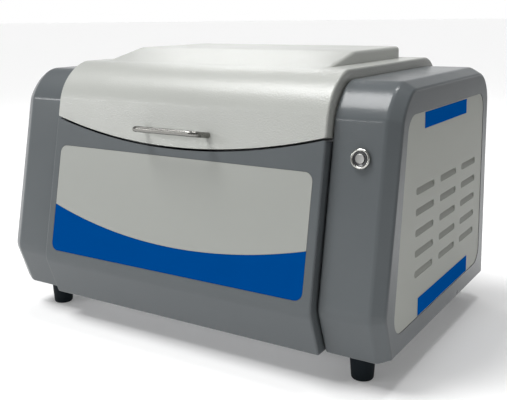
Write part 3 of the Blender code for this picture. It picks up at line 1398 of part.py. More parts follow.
def guard_loops():
    """Return the finger guard's round outline and its ring-shaped slots, four to a ring."""
    loops = [arc((0, 0), GUARD_RADIUS, 0, 360 - 360 / ROUND_SEGMENTS, ROUND_SEGMENTS - 1)]
    pitch = (GUARD_RADIUS - GUARD_RING_WIDTH - GUARD_CENTRE_RADIUS) / GUARD_RINGS
    for ring in range(GUARD_RINGS):
        inner = GUARD_CENTRE_RADIUS + ring * pitch
        outer = inner + pitch - GUARD_RING_WIDTH
        for quarter in range(4):
            ends = []
            for radius in (inner, outer):
                margin = math.degrees(math.asin(GUARD_SPOKE_WIDTH / 2 / radius))
                ends.append((radius, 90 * quarter + margin, 90 * quarter + 90 - margin))
            loops.append(
                arc((0, 0), *ends[1], ARC_STEPS // 2) + arc((0, 0), *ends[0], ARC_STEPS // 2)[::-1]
            )
    return loops


def make_rear_panel():
    """Make the rear panel with the openings for the fans, the mains inlet and the data port."""
    half = CHEEK_INNER_X - FIT
    high = TOP_Z - REAR_ROUND
    loops = [rectangle(2 * half, high - FOOT_HEIGHT, (0, (high + FOOT_HEIGHT) / 2))]
    for side in (-1, 1):
        centre = (side * FAN_X, FAN_HEIGHT)
        loops.append(arc(centre, FAN_BORE_RADIUS, 0, 360 - 360 / ROUND_SEGMENTS, ROUND_SEGMENTS - 1))
    loops.append(rectangle(INLET_BODY_WIDTH + 2 * FIT, INLET_BODY_HEIGHT + 2 * FIT, (0, INLET_HEIGHT)))
    loops.append(rectangle(
        PORT_WIDTH - 2 * PORT_FLANGE + 2 * FIT, PORT_HEIGHT - 2 * PORT_FLANGE + 2 * FIT,
        (PORT_OFFSET_X, INLET_HEIGHT),
    ))
    panel = outline_solid("rear_panel", loops, 0, REAR_PANEL_THICKNESS, rear_frame(REAR_Y))
    return as_part(panel, GREY_PAINT)


def inlet_frame():
    """Return the mains inlet's frame on the rear panel's outer face, Z pointing into the machine."""
    return frame_at((0, REAR_Y, INLET_HEIGHT), (1, 0, 0), (0, 0, 1))


def rocker_frame():
    """Return the rocker's frame on its hinge line, tilted to the off position."""
    x = INLET_BODY_WIDTH / 2 - ROCKER_EDGE - ROCKER_WIDTH / 2
    place = inlet_frame() @ Matrix.Translation((x, 0, ROCKER_SINK - REAR_HARDWARE))
    return place @ Matrix.Rotation(ROCKER_TILT, 4, "X")


def make_mains_inlet():
    """Make the mains inlet with its three pins and the well of its rocker switch, and the rocker."""
    frame = inlet_frame()
    outer = -REAR_HARDWARE
    flange = box(
        "mains_inlet", (-INLET_FLANGE_WIDTH / 2, -INLET_FLANGE_HEIGHT / 2, outer),
        (INLET_FLANGE_WIDTH / 2, INLET_FLANGE_HEIGHT / 2, -FIT), frame,
    )
    body = box(
        "inlet_body", (-INLET_BODY_WIDTH / 2, -INLET_BODY_HEIGHT / 2, outer + SHEET),
        (INLET_BODY_WIDTH / 2, INLET_BODY_HEIGHT / 2, INLET_BODY_DEPTH), frame, CUTTERS,
    )
    socket_x = SOCKET_EDGE + SOCKET_WIDTH / 2 - INLET_BODY_WIDTH / 2
    mouth = rounded(rectangle(SOCKET_WIDTH, SOCKET_HEIGHT, (socket_x, 0)), SOCKET_CORNER, 2)
    socket = outline_solid("inlet_socket", [mouth], outer - OVERRUN, outer + SOCKET_DEPTH, frame, CUTTERS)
    rocker_x = INLET_BODY_WIDTH / 2 - ROCKER_EDGE - ROCKER_WIDTH / 2
    well_floor = outer + ROCKER_SINK + ROCKER_WELL_DEPTH
    well = box(
        "rocker_well", (rocker_x - ROCKER_WIDTH / 2, -ROCKER_HEIGHT / 2, outer - OVERRUN),
        (rocker_x + ROCKER_WIDTH / 2, ROCKER_HEIGHT / 2, well_floor), frame, CUTTERS,
    )
    pin_root = outer + SOCKET_DEPTH
    cut(fuse(flange, body), socket, well)
    for index in (-1, 0, 1):
        x = socket_x + index * SOCKET_PIN_PITCH
        y = SOCKET_PIN_HEIGHT / 2 * (1 if index == 0 else -1) * SOCKET_PIN_STAGGER_SHARE
        fuse(flange, box(
            f"inlet_pin_{index}",
            (x - SOCKET_PIN_WIDTH / 2, y - SOCKET_PIN_HEIGHT / 2, pin_root - SOCKET_PIN_LENGTH),
            (x + SOCKET_PIN_WIDTH / 2, y + SOCKET_PIN_HEIGHT / 2, pin_root + OVERRUN / 2), frame, CUTTERS,
        ))
    as_part(flange, BLACK_PLASTIC)
    outline = [Vector((0, -ROCKER_CROWN))] + rocker_arc(ROCKER_HEIGHT / 2 - ROCKER_CLEARANCE)
    half = ROCKER_WIDTH / 2 - ROCKER_CLEARANCE
    frame = rocker_frame() @ frame_at((0, 0, 0), (0, 1, 0), (0, 0, 1))
    as_part(outline_solid("rocker_switch", [outline], -half, half, frame), BLACK_PLASTIC)


def rocker_arc(radius):
    """Return the rocker's round back (y, depth), from end to end, cut back by its tilt at both ends."""
    tilt = math.degrees(ROCKER_TILT)
    return arc((0, 0), radius, tilt, 180 - tilt, ARC_STEPS)


def make_data_port():
    """Make the data port: a flange outside the rear panel and a body with a square mouth."""
    frame = frame_at((PORT_OFFSET_X, REAR_Y, INLET_HEIGHT), (1, 0, 0), (0, 0, 1))
    half_x, half_y = PORT_WIDTH / 2, PORT_HEIGHT / 2
    port = box("data_port", (-half_x, -half_y, -FIT - SHEET), (half_x, half_y, -FIT), frame)
    body = box(
        "data_port_body", (PORT_FLANGE - half_x, PORT_FLANGE - half_y, -FIT - SHEET / 2),
        (half_x - PORT_FLANGE, half_y - PORT_FLANGE, PORT_DEPTH), frame, CUTTERS,
    )
    mouth = box(
        "data_port_mouth", (-PORT_MOUTH_WIDTH / 2, -PORT_MOUTH_HEIGHT / 2, -FIT - SHEET - OVERRUN),
        (PORT_MOUTH_WIDTH / 2, PORT_MOUTH_HEIGHT / 2, PORT_MOUTH_DEPTH), frame, CUTTERS,
    )
    return as_part(cut(fuse(port, body), mouth), STAINLESS)


def carry_by_empty(name, place, names):
    """Parent the named pieces to a new empty on their joint's axis, keeping their places."""
    empty = bpy.data.objects.new(name, None)
    empty.location = place
    PARTS.objects.link(empty)
    bpy.context.view_layer.update()
    for part_name in names:
        part = bpy.data.objects[part_name]
        world = part.matrix_world.copy()
        part.parent = empty
        part.matrix_parent_inverse = empty.matrix_world.inverted()
        part.matrix_world = world


def main():
    """Build every piece, then hang the moving ones on their axes."""
    for side, word in ((-1, "left"), (1, "right")):
        make_cheek(side, f"{word}_cheek")
        make_side_panel(side, f"{word}_side_panel")
        make_strips(side, word)
        make_hinge(side, word)
        make_fan(side, word)
    make_feet()
    make_front_cover()
    make_front_panels()
    make_lid_shell()
    make_lid_liner()
    make_handle()
    make_power_button()
    make_base_tray()
    make_sample_deck()
    make_stage()
    make_optics_bracket()
    make_tube_and_detector()
    make_filter_wheel()
    make_shield_box()
    make_electronics()
    make_interlock()
    make_rear_panel()
    make_rear_top_cover()
    make_mains_inlet()
    make_data_port()
    bpy.context.view_layer.update()
    carry_by_empty("lid_axis", (0, HINGE_Y, HINGE_Z), [
        "lid_shell", "lid_liner", "handle", "handle_screw_left", "handle_screw_right", "interlock_magnet",
        "hinge_lid_leaf_left", "hinge_lid_leaf_right",
    ])
    carry_by_empty("button_axis", button_frame().translation, ["power_button_cap"])
    carry_by_empty("rocker_axis", rocker_frame().translation, ["rocker_switch"])
    carry_by_empty("filter_axis", filter_frame().translation, ["filter_wheel"])
    for side, word in ((-1, "left"), (1, "right")):
        carry_by_empty(f"fan_axis_{word}", fan_frame_at(side).translation, [f"fan_rotor_{word}"])


main()
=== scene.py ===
"""Looks for the benchtop x-ray fluorescence analyzer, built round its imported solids.

Metres, +Z up, the front faces -Y. Each piece is shaped where its solid stands.
"""
from __future__ import annotations

import json
import logging
import math
from dataclasses import dataclass, field, replace
from enum import Enum
from typing import Callable, Iterable, Sequence

import bmesh
import bpy
from bmesh import ops
from bmesh.types import BMEdge, BMesh, BMFace, BMVert
from mathutils import Matrix, Vector

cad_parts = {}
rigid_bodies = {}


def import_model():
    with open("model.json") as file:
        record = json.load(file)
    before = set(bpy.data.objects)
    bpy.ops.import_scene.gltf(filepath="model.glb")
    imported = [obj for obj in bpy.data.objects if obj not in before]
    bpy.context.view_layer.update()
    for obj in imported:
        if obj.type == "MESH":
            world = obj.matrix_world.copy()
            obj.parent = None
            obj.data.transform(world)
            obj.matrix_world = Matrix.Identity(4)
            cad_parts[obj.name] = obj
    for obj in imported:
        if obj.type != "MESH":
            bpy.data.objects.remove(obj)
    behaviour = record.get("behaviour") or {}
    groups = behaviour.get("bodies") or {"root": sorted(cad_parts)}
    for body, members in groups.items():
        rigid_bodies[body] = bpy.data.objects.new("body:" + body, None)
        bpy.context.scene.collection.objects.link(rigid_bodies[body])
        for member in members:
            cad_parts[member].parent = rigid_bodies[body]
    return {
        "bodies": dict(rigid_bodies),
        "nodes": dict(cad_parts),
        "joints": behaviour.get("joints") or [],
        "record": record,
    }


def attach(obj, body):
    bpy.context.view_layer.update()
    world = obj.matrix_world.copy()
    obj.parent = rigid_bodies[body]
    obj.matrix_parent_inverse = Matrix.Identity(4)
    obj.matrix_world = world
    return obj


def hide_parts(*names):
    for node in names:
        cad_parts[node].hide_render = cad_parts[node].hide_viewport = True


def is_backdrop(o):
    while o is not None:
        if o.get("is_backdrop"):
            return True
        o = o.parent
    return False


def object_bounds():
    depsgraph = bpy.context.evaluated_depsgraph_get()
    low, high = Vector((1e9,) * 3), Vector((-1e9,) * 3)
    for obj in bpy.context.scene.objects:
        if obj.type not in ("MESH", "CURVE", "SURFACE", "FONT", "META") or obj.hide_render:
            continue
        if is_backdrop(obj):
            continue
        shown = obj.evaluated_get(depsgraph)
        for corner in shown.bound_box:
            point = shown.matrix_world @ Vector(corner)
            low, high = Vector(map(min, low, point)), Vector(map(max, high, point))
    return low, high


LOG = logging.getLogger("analyzer")
WELD = 0.00002  # points nearer than this are one
OVERRUN = 0.002  # how far a cutter reaches beyond what it cuts
FIT = 0.0003  # the clearance between two fitted pieces
SKIN = 0.003  # the shells' thickness
EDGE_ROUND = 0.0026  # the rounding of the shells' outer edges
FACING = 0.9  # the least share of a normal along the way that its face looks
FULL_TURN = 2 * math.pi
NOISE_SPAN = (0.25, 0.75)  # where most of a noise's values lie
MOTTLE_DETAIL = 3.0

Colour = tuple[float, float, float]
Point = Sequence[float]
Profile = tuple[tuple[float, float], ...]


class Body(Enum):
    """The bodies that the pieces ride on."""

    CASING = "casing"
    LID = "lid"
    BUTTON = "power_button"
    ROCKER = "rocker"
    FAN_LEFT = "fan_left"
    FAN_RIGHT = "fan_right"


class Side(Enum):
    """Left and right as seen from in front."""

    LEFT = -1
    RIGHT = 1

    @property
    def word(self) -> str:
        """The side's word in piece names."""
        return self.name.lower()


class Grain(Enum):
    """A surface's fine texture: its stretch along X, Y and Z, and its noise detail."""

    PEEL = ((1.0, 1.0, 1.0), 2.0)
    MOULDED = ((1.0, 1.0, 1.0), 6.0)
    BRUSHED_X = ((0.02, 1.0, 1.0), 4.0)
    BRUSHED_Y = ((1.0, 0.02, 1.0), 4.0)


# ---------------------------------------------------------------------------- finishes


class Graph:
    """The nodes of a material or a world."""

    def __init__(self, owner: bpy.types.Material | bpy.types.World) -> None:
        """Start from the owner's own nodes."""
        owner.use_nodes = True
        self.tree = owner.node_tree

    def set(self, node: bpy.types.Node, **inputs: object) -> bpy.types.Node:
        """Set a node's inputs.

        Args:
            node: the node.
            inputs: a value or another node's output for each, spaces written as underscores.

        Returns:
            The node.
        """
        for label, value in inputs.items():
            socket = node.inputs[label.replace("_", " ")]
            if isinstance(value, bpy.types.NodeSocket):
                self.tree.links.new(value, socket)
            else:
                socket.default_value = value
        return node

    def add(self, kind: str, **inputs: object) -> bpy.types.Node:
        """Add a shader node of a kind with its inputs."""
        return self.set(self.tree.nodes.new(f"ShaderNode{kind}"), **inputs)

    def between(
        self, value: bpy.types.NodeSocket, given: Sequence[object], made: Sequence[float], held: bool = True,
    ) -> bpy.types.NodeSocket:
        """Turn one range of values into another.

        Args:
            value: the output that is turned.
            given: its range, as numbers or outputs.
            made: the range that comes out.
            held: whether the result stays within that range.

        Returns:
            The result's output.
        """
        low, high = given
        node = self.add("MapRange", Value=value, From_Min=low, From_Max=high, To_Min=made[0], To_Max=made[1])
        node.clamp = held
        return node.outputs["Result"]


@dataclass(frozen=True)
class Finish:
    """One finish: its colour and gloss, its fine grain and its slow unevenness."""

    name: str
    slot: str
    colour: Colour
    roughness: float
    metallic: float = 0.0
    grain: Grain = Grain.PEEL
    grain_size: float = 0.0012
    grain_depth: float = 0.00002
    mottle: float = 0.03
    mottle_size: float = 0.06
    gloss_drift: float = 0.04
    coat: float = 0.0
    coat_roughness: float = 0.1
    specular: float = 0.5
    transmission: float = 0.0

    def make(self) -> bpy.types.Material:
        """Build the node material once and return it."""
        name = f"finish_{self.name}"
        made = bpy.data.materials.get(name)
        if made:
            return made
        made = bpy.data.materials.new(name)
        graph = Graph(made)
        place = graph.add("TexCoord").outputs["Object"]
        slow = graph.add("TexNoise", Vector=place, Scale=1 / self.mottle_size, Detail=MOTTLE_DETAIL)
        slow = slow.outputs["Fac"]
        dark, light = (
            (*(min(1.0, channel * (1.0 + drift)) for channel in self.colour), 1.0)
            for drift in (-self.mottle, self.mottle)
        )
        tint = graph.add("Mix")
        tint.data_type = "RGBA"
        graph.set(tint, A=dark, B=light, Factor=slow)
        stretch, detail = self.grain.value
        turned = graph.add("Mapping", Vector=place, Scale=stretch).outputs["Vector"]
        fine = graph.add("TexNoise", Vector=turned, Scale=1 / self.grain_size, Detail=detail).outputs["Fac"]
        gloss = graph.between(
            slow if self.metallic < 0.5 else fine, NOISE_SPAN,
            (self.roughness - self.gloss_drift, self.roughness + self.gloss_drift), held=False,
        )
        bump = graph.add("Bump", Distance=self.grain_depth, Height=fine).outputs["Normal"]
        graph.set(
            graph.tree.nodes["Principled BSDF"], Base_Color=tint.outputs["Result"],
            Roughness=gloss, Normal=bump, Coat_Normal=bump, Metallic=self.metallic,
            Specular_IOR_Level=self.specular, Coat_Weight=self.coat,
            Coat_Roughness=self.coat_roughness, Transmission_Weight=self.transmission,
        )
        return made


LID_PAINT = Finish("lid_paint", "light_paint", (0.43, 0.44, 0.415), 0.34, grain_size=0.0019,
                   grain_depth=0.00034, mottle=0.015, coat=0.3, coat_roughness=0.07, specular=0.36)
PANEL_PAINT = Finish("panel_face", "light_paint", (0.322, 0.332, 0.310), 0.36, grain_size=0.0009,
                     grain_depth=0.00001, mottle=0.012, mottle_size=0.12, coat=0.1, coat_roughness=0.2)
SIDE_PAINT = Finish("side_panel_paint", "light_steel", (0.405, 0.415, 0.385), 0.40, grain_size=0.0014,
                    grain_depth=0.00004, mottle=0.015, specular=0.05)
GREY_PAINT = Finish("casing_paint", "grey_paint", (0.103, 0.1145, 0.121), 0.31, grain_size=0.0016,
                    grain_depth=0.00010, mottle=0.03, coat=0.3, coat_roughness=0.09, specular=0.16)
REAR_PAINT = Finish("rear_panel_paint", "grey_steel", (0.118, 0.130, 0.137), 0.46, grain_size=0.0011,
                    grain_depth=0.00006, mottle=0.03)
BLUE = Finish("blue_film", "blue_film", (0.0, 0.056, 0.245), 0.42, grain_size=0.0008,
              grain_depth=0.000008, mottle=0.02, specular=0.0)
# The side strips' blue film, painted lighter than the sweep's same film: painted light that makes up for the
# shade on the machine's sides.
STRIP_BLUE_PAINTED_LIGHT = replace(BLUE, name="strip_film_painted_light", colour=(0.0, 0.090, 0.385))
RUBBER = Finish("foot_rubber", "black_rubber", (0.0030, 0.0070, 0.0105), 0.66, grain=Grain.MOULDED,
                grain_size=0.0008, grain_depth=0.00008, mottle=0.12, mottle_size=0.015, specular=0.16)
BLACK = Finish("black_plastic", "black_plastic", (0.014, 0.014, 0.016), 0.42, grain=Grain.MOULDED,
               grain_size=0.0006, grain_depth=0.00003, mottle=0.08, mottle_size=0.03)
ROCKER_BLACK = replace(BLACK, name="rocker_gloss", colour=(0.010, 0.010, 0.012), roughness=0.24)
SATIN = Finish("satin_steel", "stainless", (0.255, 0.252, 0.237), 0.27, 1.0, Grain.BRUSHED_X,
               grain_size=0.0008, grain_depth=0.00002, gloss_drift=0.05)
POLISHED = Finish("polished_steel", "stainless", (0.56, 0.56, 0.53), 0.22, 1.0, Grain.MOULDED,
                  grain_size=0.0010, grain_depth=0.00001, gloss_drift=0.03)
BRUSHED = Finish("brushed_steel", "stainless", (0.52, 0.52, 0.505), 0.32, 1.0, Grain.BRUSHED_X,
                 grain_size=0.0004, grain_depth=0.00001, gloss_drift=0.07)
ZINC = Finish("zinc_sheet", "zinc_sheet", (0.48, 0.49, 0.51), 0.40, 1.0, Grain.BRUSHED_Y,
              grain_size=0.0009, grain_depth=0.000012, mottle=0.06, mottle_size=0.012, gloss_drift=0.08)
ALUMINIUM = Finish("aluminium", "aluminium", (0.62, 0.63, 0.64), 0.36, 1.0, Grain.BRUSHED_X,
                   grain_size=0.0005, grain_depth=0.000012, gloss_drift=0.07)
FILM = Finish("window_film", "clear_film", (0.62, 0.50, 0.26), 0.14, grain_size=0.003,
              grain_depth=0.00002, transmission=0.5, coat=0.6)
BOARD = Finish("board_green", "board_green", (0.010, 0.090, 0.038), 0.40, grain=Grain.MOULDED,
               grain_size=0.0012, grain_depth=0.00003, mottle=0.15, mottle_size=0.006, coat=0.4)
BUTTON_FACE = Finish("button_face", "stainless", (0.36, 0.36, 0.35), 0.42, 1.0, Grain.MOULDED,
                     grain_size=0.0006, grain_depth=0.00001)
LENS = Finish("button_lens", "black_plastic", (0.030, 0.030, 0.034), 0.22, grain=Grain.MOULDED,
              grain_size=0.0009, grain_depth=0.00001, coat=0.6, coat_roughness=0.08)
FOAM = Finish("seal_foam", "black_rubber", (0.012, 0.019, 0.036), 0.92, grain=Grain.MOULDED,
              grain_size=0.0007, grain_depth=0.00018, mottle=0.15, mottle_size=0.01, specular=0.2)

# The solids that keep their own meshes, by their finish.
SOLID_LOOKS: dict[Finish, tuple[str, ...]] = {
    ALUMINIUM: ("detector", "filter_wheel", "lid_liner", "optics_bracket"),
    BLACK: ("fan_frame_left", "fan_frame_right", "filter_motor", "reed_sensor", "sample_camera"),
    BOARD: ("pulse_processor_board",),
    BRUSHED: ("xray_tube",),
    FILM: ("window_film",),
    REAR_PAINT: ("hv_generator", "rear_panel"),
    ZINC: ("base_tray", "handle_screw_left", "handle_screw_right", "interlock_magnet",
           "power_button_nut", "power_supply", "sample_deck", "shield_box"),
}


# ---------------------------------------------------------------------------- shaping


def frame_at(origin: Point, x_axis: Point, y_axis: Point) -> Matrix:
    """Return the frame with this origin and these two axes."""
    across, along = Vector(x_axis).normalized(), Vector(y_axis).normalized()
    turned = Matrix((across, along, across.cross(along))).transposed().to_4x4()
    return Matrix.Translation(Vector(origin)) @ turned


def rear_frame(x: float, y: float, z: float) -> Matrix:
    """Return a frame on the rear side, its X along X, its Y up and its Z into the machine."""
    return frame_at((x, y, z), (1, 0, 0), (0, 0, 1))


def shift(x: float, y: float, z: float) -> Matrix:
    """Return the move by x, y and z."""
    return Matrix.Translation((x, y, z))


def about_z(angle: float) -> Matrix:
    """Return the turn about Z."""
    return Matrix.Rotation(angle, 4, "Z")


SIDE_VIEW = frame_at((0, 0, 0), (0, 1, 0), (0, 0, 1))


def arc_centre(start: Vector, end: Vector, radius: float) -> Vector:
    """Return the centre of the arc from start to end that bulges to the right of that way."""
    chord = end - start
    right = Vector((chord.y, -chord.x)).normalized()
    return (start + end) / 2 - right * math.sqrt(radius**2 - (chord.length / 2) ** 2)


def edges_of(verts: Iterable[BMVert]) -> list[BMEdge]:
    """Return the edges that meet at the vertices."""
    return list(dict.fromkeys(edge for vert in verts for edge in vert.link_edges))


class Pen:
    """Draws an outline of edges on a plane, anticlockwise, as the start of a piece."""

    def __init__(self, start: Point) -> None:
        """Set the pen down at start."""
        self.bm = bmesh.new()
        self.tip = self.bm.verts.new((start[0], start[1], 0.0))

    @property
    def place(self) -> Vector:
        """Where the pen is on its plane."""
        return self.tip.co.xy

    def line(self, *points: Point) -> Pen:
        """Draw straight on through the points."""
        for point in points:
            self.tip = ops.extrude_vert_indiv(self.bm, verts=[self.tip])["verts"][0]
            self.tip.co = (point[0], point[1], 0.0)
        return self

    def arc(self, end: Point, radius: float, steps: int = 24) -> Pen:
        """Draw an arc to end.

        Args:
            end: where it ends.
            radius: its radius, below zero where it bulges to the left of the way.
            steps: the straight steps that make it.

        Returns:
            The pen.
        """
        start, end = self.place.copy(), Vector(end)
        half = (end - start).length / 2
        size = max(abs(radius), half)
        if radius > 0:
            centre, sweep = arc_centre(start, end, size), 2 * math.asin(half / size)
        else:
            centre, sweep = arc_centre(end, start, size), -2 * math.asin(half / size)
        made = ops.spin(
            self.bm, geom=[self.tip], cent=(*centre, 0), axis=(0, 0, 1), angle=sweep, steps=steps,
        )
        self.tip = next(v for v in made["geom_last"] if isinstance(v, BMVert))
        return self

    def join(self) -> BMesh:
        """Join the outline's ends and return its mesh."""
        self.bm.verts.ensure_lookup_table()
        self.bm.edges.new((self.tip, self.bm.verts[0]))
        return self.bm

    def close(self) -> BMesh:
        """Join the outline's ends, fill it, and return its mesh with one face that looks along +Z."""
        bm = self.join()
        ops.remove_doubles(bm, verts=bm.verts, dist=WELD)
        ops.contextual_create(bm, geom=bm.edges[:])
        bm.normal_update()
        for face in bm.faces:
            if face.normal.z < 0:
                face.normal_flip()
        return bm


def polygon(points: Sequence[Point], radius: float = 0.0, grow: float = 0.0) -> BMesh:
    """Fill an anticlockwise polygon.

    Args:
        points: its corners before growing.
        radius: how far its corners are rounded, measured after growing.
        grow: how far its sides move out, below zero to shrink it.

    Returns:
        A mesh of one face that looks along +Z.
    """
    count = len(points)
    placed = []
    for index in range(count):
        corner = Vector(points[index])
        before = (corner - Vector(points[index - 1])).normalized()
        after = (Vector(points[(index + 1) % count]) - corner).normalized()
        first, second = Vector((before.y, -before.x)), Vector((after.y, -after.x))
        placed.append(corner + (first + second) / (1 + first.dot(second)) * grow)
    bm = Pen(placed[0]).line(*placed[1:]).close()
    if radius > 0:
        for corner in bm.verts[:]:
            ways = [(edge.other_vert(corner).co - corner.co).normalized() for edge in corner.link_edges]
            reach = radius / math.tan(ways[0].angle(ways[1]) / 2)
            ops.bevel(
                bm, geom=[corner], offset=reach, segments=10, profile=0.5, affect="VERTICES", material=-1,
            )
    return bm


def rectangle(low: Point, high: Point, radius: float = 0.0, grow: float = 0.0) -> BMesh:
    """Fill the rectangle between two corners, rounded and grown as a polygon is."""
    return polygon([low, (high[0], low[1]), high, (low[0], high[1])], radius, grow)


class Form:
    """One piece while it is being shaped, in the machine's frame."""

    def __init__(self, bm: BMesh | None = None) -> None:
        """Start from a mesh, or from nothing."""
        self.bm = bm or bmesh.new()

    @classmethod
    def plate(cls, outline: BMesh, low: float, high: float, frame: Matrix = SIDE_VIEW) -> Form:
        """Make a plate.

        Args:
            outline: its filled outline on the frame's XY plane.
            low: its near face along the frame's Z.
            high: its far face.
            frame: where it lies, as seen from the side where none is given.

        Returns:
            The plate.
        """
        ops.translate(outline, vec=(0, 0, low), verts=outline.verts)
        made = ops.extrude_face_region(outline, geom=outline.faces[:], use_keep_orig=True)
        top = [v for v in made["geom"] if isinstance(v, BMVert)]
        ops.translate(outline, vec=(0, 0, high - low), verts=top)
        return cls(outline).moved(frame).faced()

    @classmethod
    def block(cls, low: Point, high: Point, frame: Matrix | None = None) -> Form:
        """Make a block between two opposite corners given in the frame."""
        low, high = Vector(low), Vector(high)
        bm = bmesh.new()
        ops.create_cube(bm, size=1.0)
        ops.scale(bm, vec=high - low, verts=bm.verts)
        ops.translate(bm, vec=(low + high) / 2, verts=bm.verts)
        return cls(bm).moved(frame or Matrix.Identity(4))

    @classmethod
    def turned(cls, profile: Sequence[Point], frame: Matrix, segments: int = 48) -> Form:
        """Turn a profile on the lathe.

        Args:
            profile: (radius, height) points of a closed profile, or of an open one whose ends lie on
                the axis.
            frame: its Z is the lathe's axis.
            segments: the steps round.

        Returns:
            The turned solid.
        """
        pen = Pen(profile[0]).line(*profile[1:])
        bm = pen.join() if profile[0][0] > WELD else pen.bm
        ops.transform(bm, matrix=Matrix.Rotation(math.pi / 2, 4, "X"), verts=bm.verts)
        ops.spin(
            bm, geom=bm.verts[:] + bm.edges[:], cent=(0, 0, 0), axis=(0, 0, 1), angle=FULL_TURN,
            steps=segments, use_merge=True,
        )
        ops.remove_doubles(bm, verts=bm.verts, dist=WELD)
        return cls(bm).moved(frame).faced()

    def moved(self, frame: Matrix) -> Form:
        """Move the form by a frame."""
        ops.transform(self.bm, matrix=frame, verts=self.bm.verts)
        return self

    def faced(self) -> Form:
        """Turn the form's faces outward."""
        ops.recalc_face_normals(self.bm, faces=self.bm.faces)
        return self

    def soften(
        self, width: float, segments: int = 3, angle: float = 40.0,
        where: Callable[[Vector], bool] | None = None,
    ) -> Form:
        """Round the edges that turn by more than the angle.

        Args:
            width: how far the rounding reaches from the edge.
            segments: the steps across it.
            angle: the least turn in degrees.
            where: says of an edge's middle whether it is rounded.

        Returns:
            The form.
        """
        bm = self.bm
        bm.normal_update()
        chosen = [
            edge for edge in bm.edges
            if len(edge.link_faces) == 2 and edge.calc_face_angle(0.0) > math.radians(angle)
            and (where is None or where((edge.verts[0].co + edge.verts[1].co) / 2))
        ]
        ops.bevel(
            bm, geom=chosen, offset=width, segments=segments, profile=0.5, affect="EDGES", material=-1,
        )
        return self

    def add(self, *others: Form) -> Form:
        """Put other forms' meshes beside this one."""
        for other in others:
            mesh = other.mesh("joined")
            self.bm.from_mesh(mesh)
            bpy.data.meshes.remove(mesh)
        return self

    def mirrored(self) -> Form:
        """Return the form's mirror image across the machine's middle."""
        bm = self.bm.copy()
        ops.scale(bm, vec=(-1, 1, 1), verts=bm.verts)
        ops.reverse_faces(bm, faces=bm.faces)
        return Form(bm)

    def mesh(self, name: str) -> bpy.types.Mesh:
        """Turn the form into a mesh and free it."""
        mesh = bpy.data.meshes.new(name)
        self.bm.to_mesh(mesh)
        self.bm.free()
        return mesh

    def _boolean(self, operation: str, tools: Iterable[Form]) -> Form:
        """Join the form with each tool, or cut it, by an exact Boolean."""
        for tool in tools:
            solid = bpy.data.objects.new("solid", self.mesh("solid"))
            other = bpy.data.objects.new("tool", tool.mesh("tool"))
            for obj in (solid, other):
                bpy.context.scene.collection.objects.link(obj)
            step = solid.modifiers.new("step", "BOOLEAN")
            step.operation, step.solver, step.object = operation, "EXACT", other
            self.bm = bmesh.new()
            self.bm.from_mesh(solid.evaluated_get(bpy.context.evaluated_depsgraph_get()).to_mesh())
            for obj in (solid, other):
                data = obj.data
                bpy.data.objects.remove(obj, do_unlink=True)
                bpy.data.meshes.remove(data)
        return self

    def cut(self, *tools: Form) -> Form:
        """Cut each tool out of the form."""
        return self._boolean("DIFFERENCE", tools)

    def fuse(self, *tools: Form) -> Form:
        """Join each tool to the form as one solid."""
        return self._boolean("UNION", tools)

    def finish(
        self, name: str, look: Finish, body: Body = Body.CASING, nodes: Sequence[str] | None = None,
        crease: float = 30.0,
    ) -> None:
        """Make the form a piece of the machine.

        Args:
            name: the piece's name after "looks_".
            look: its finish.
            body: the body it rides on.
            nodes: the solids it stands for, by default the one with its name.
            crease: the turn in degrees above which an edge shades sharp.
        """
        nodes, name = (name,) if nodes is None else nodes, f"looks_{name}"
        ops.remove_doubles(self.bm, verts=self.bm.verts, dist=WELD)
        mesh = self.mesh(name)
        mesh.shade_smooth()
        mesh.set_sharp_from_angle(angle=math.radians(crease))
        mesh.materials.append(look.make())
        piece = bpy.data.objects.new(name, mesh)
        bpy.context.scene.collection.objects.link(piece)
        piece.modifiers.new("even shading", "WEIGHTED_NORMAL").keep_sharp = True
        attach(piece, body.value)
        if nodes:
            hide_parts(*nodes)
        LOG.info("%s: %d faces, on %s", name, len(mesh.polygons), body.value)


# ---------------------------------------------------------------------------- the casing's lines


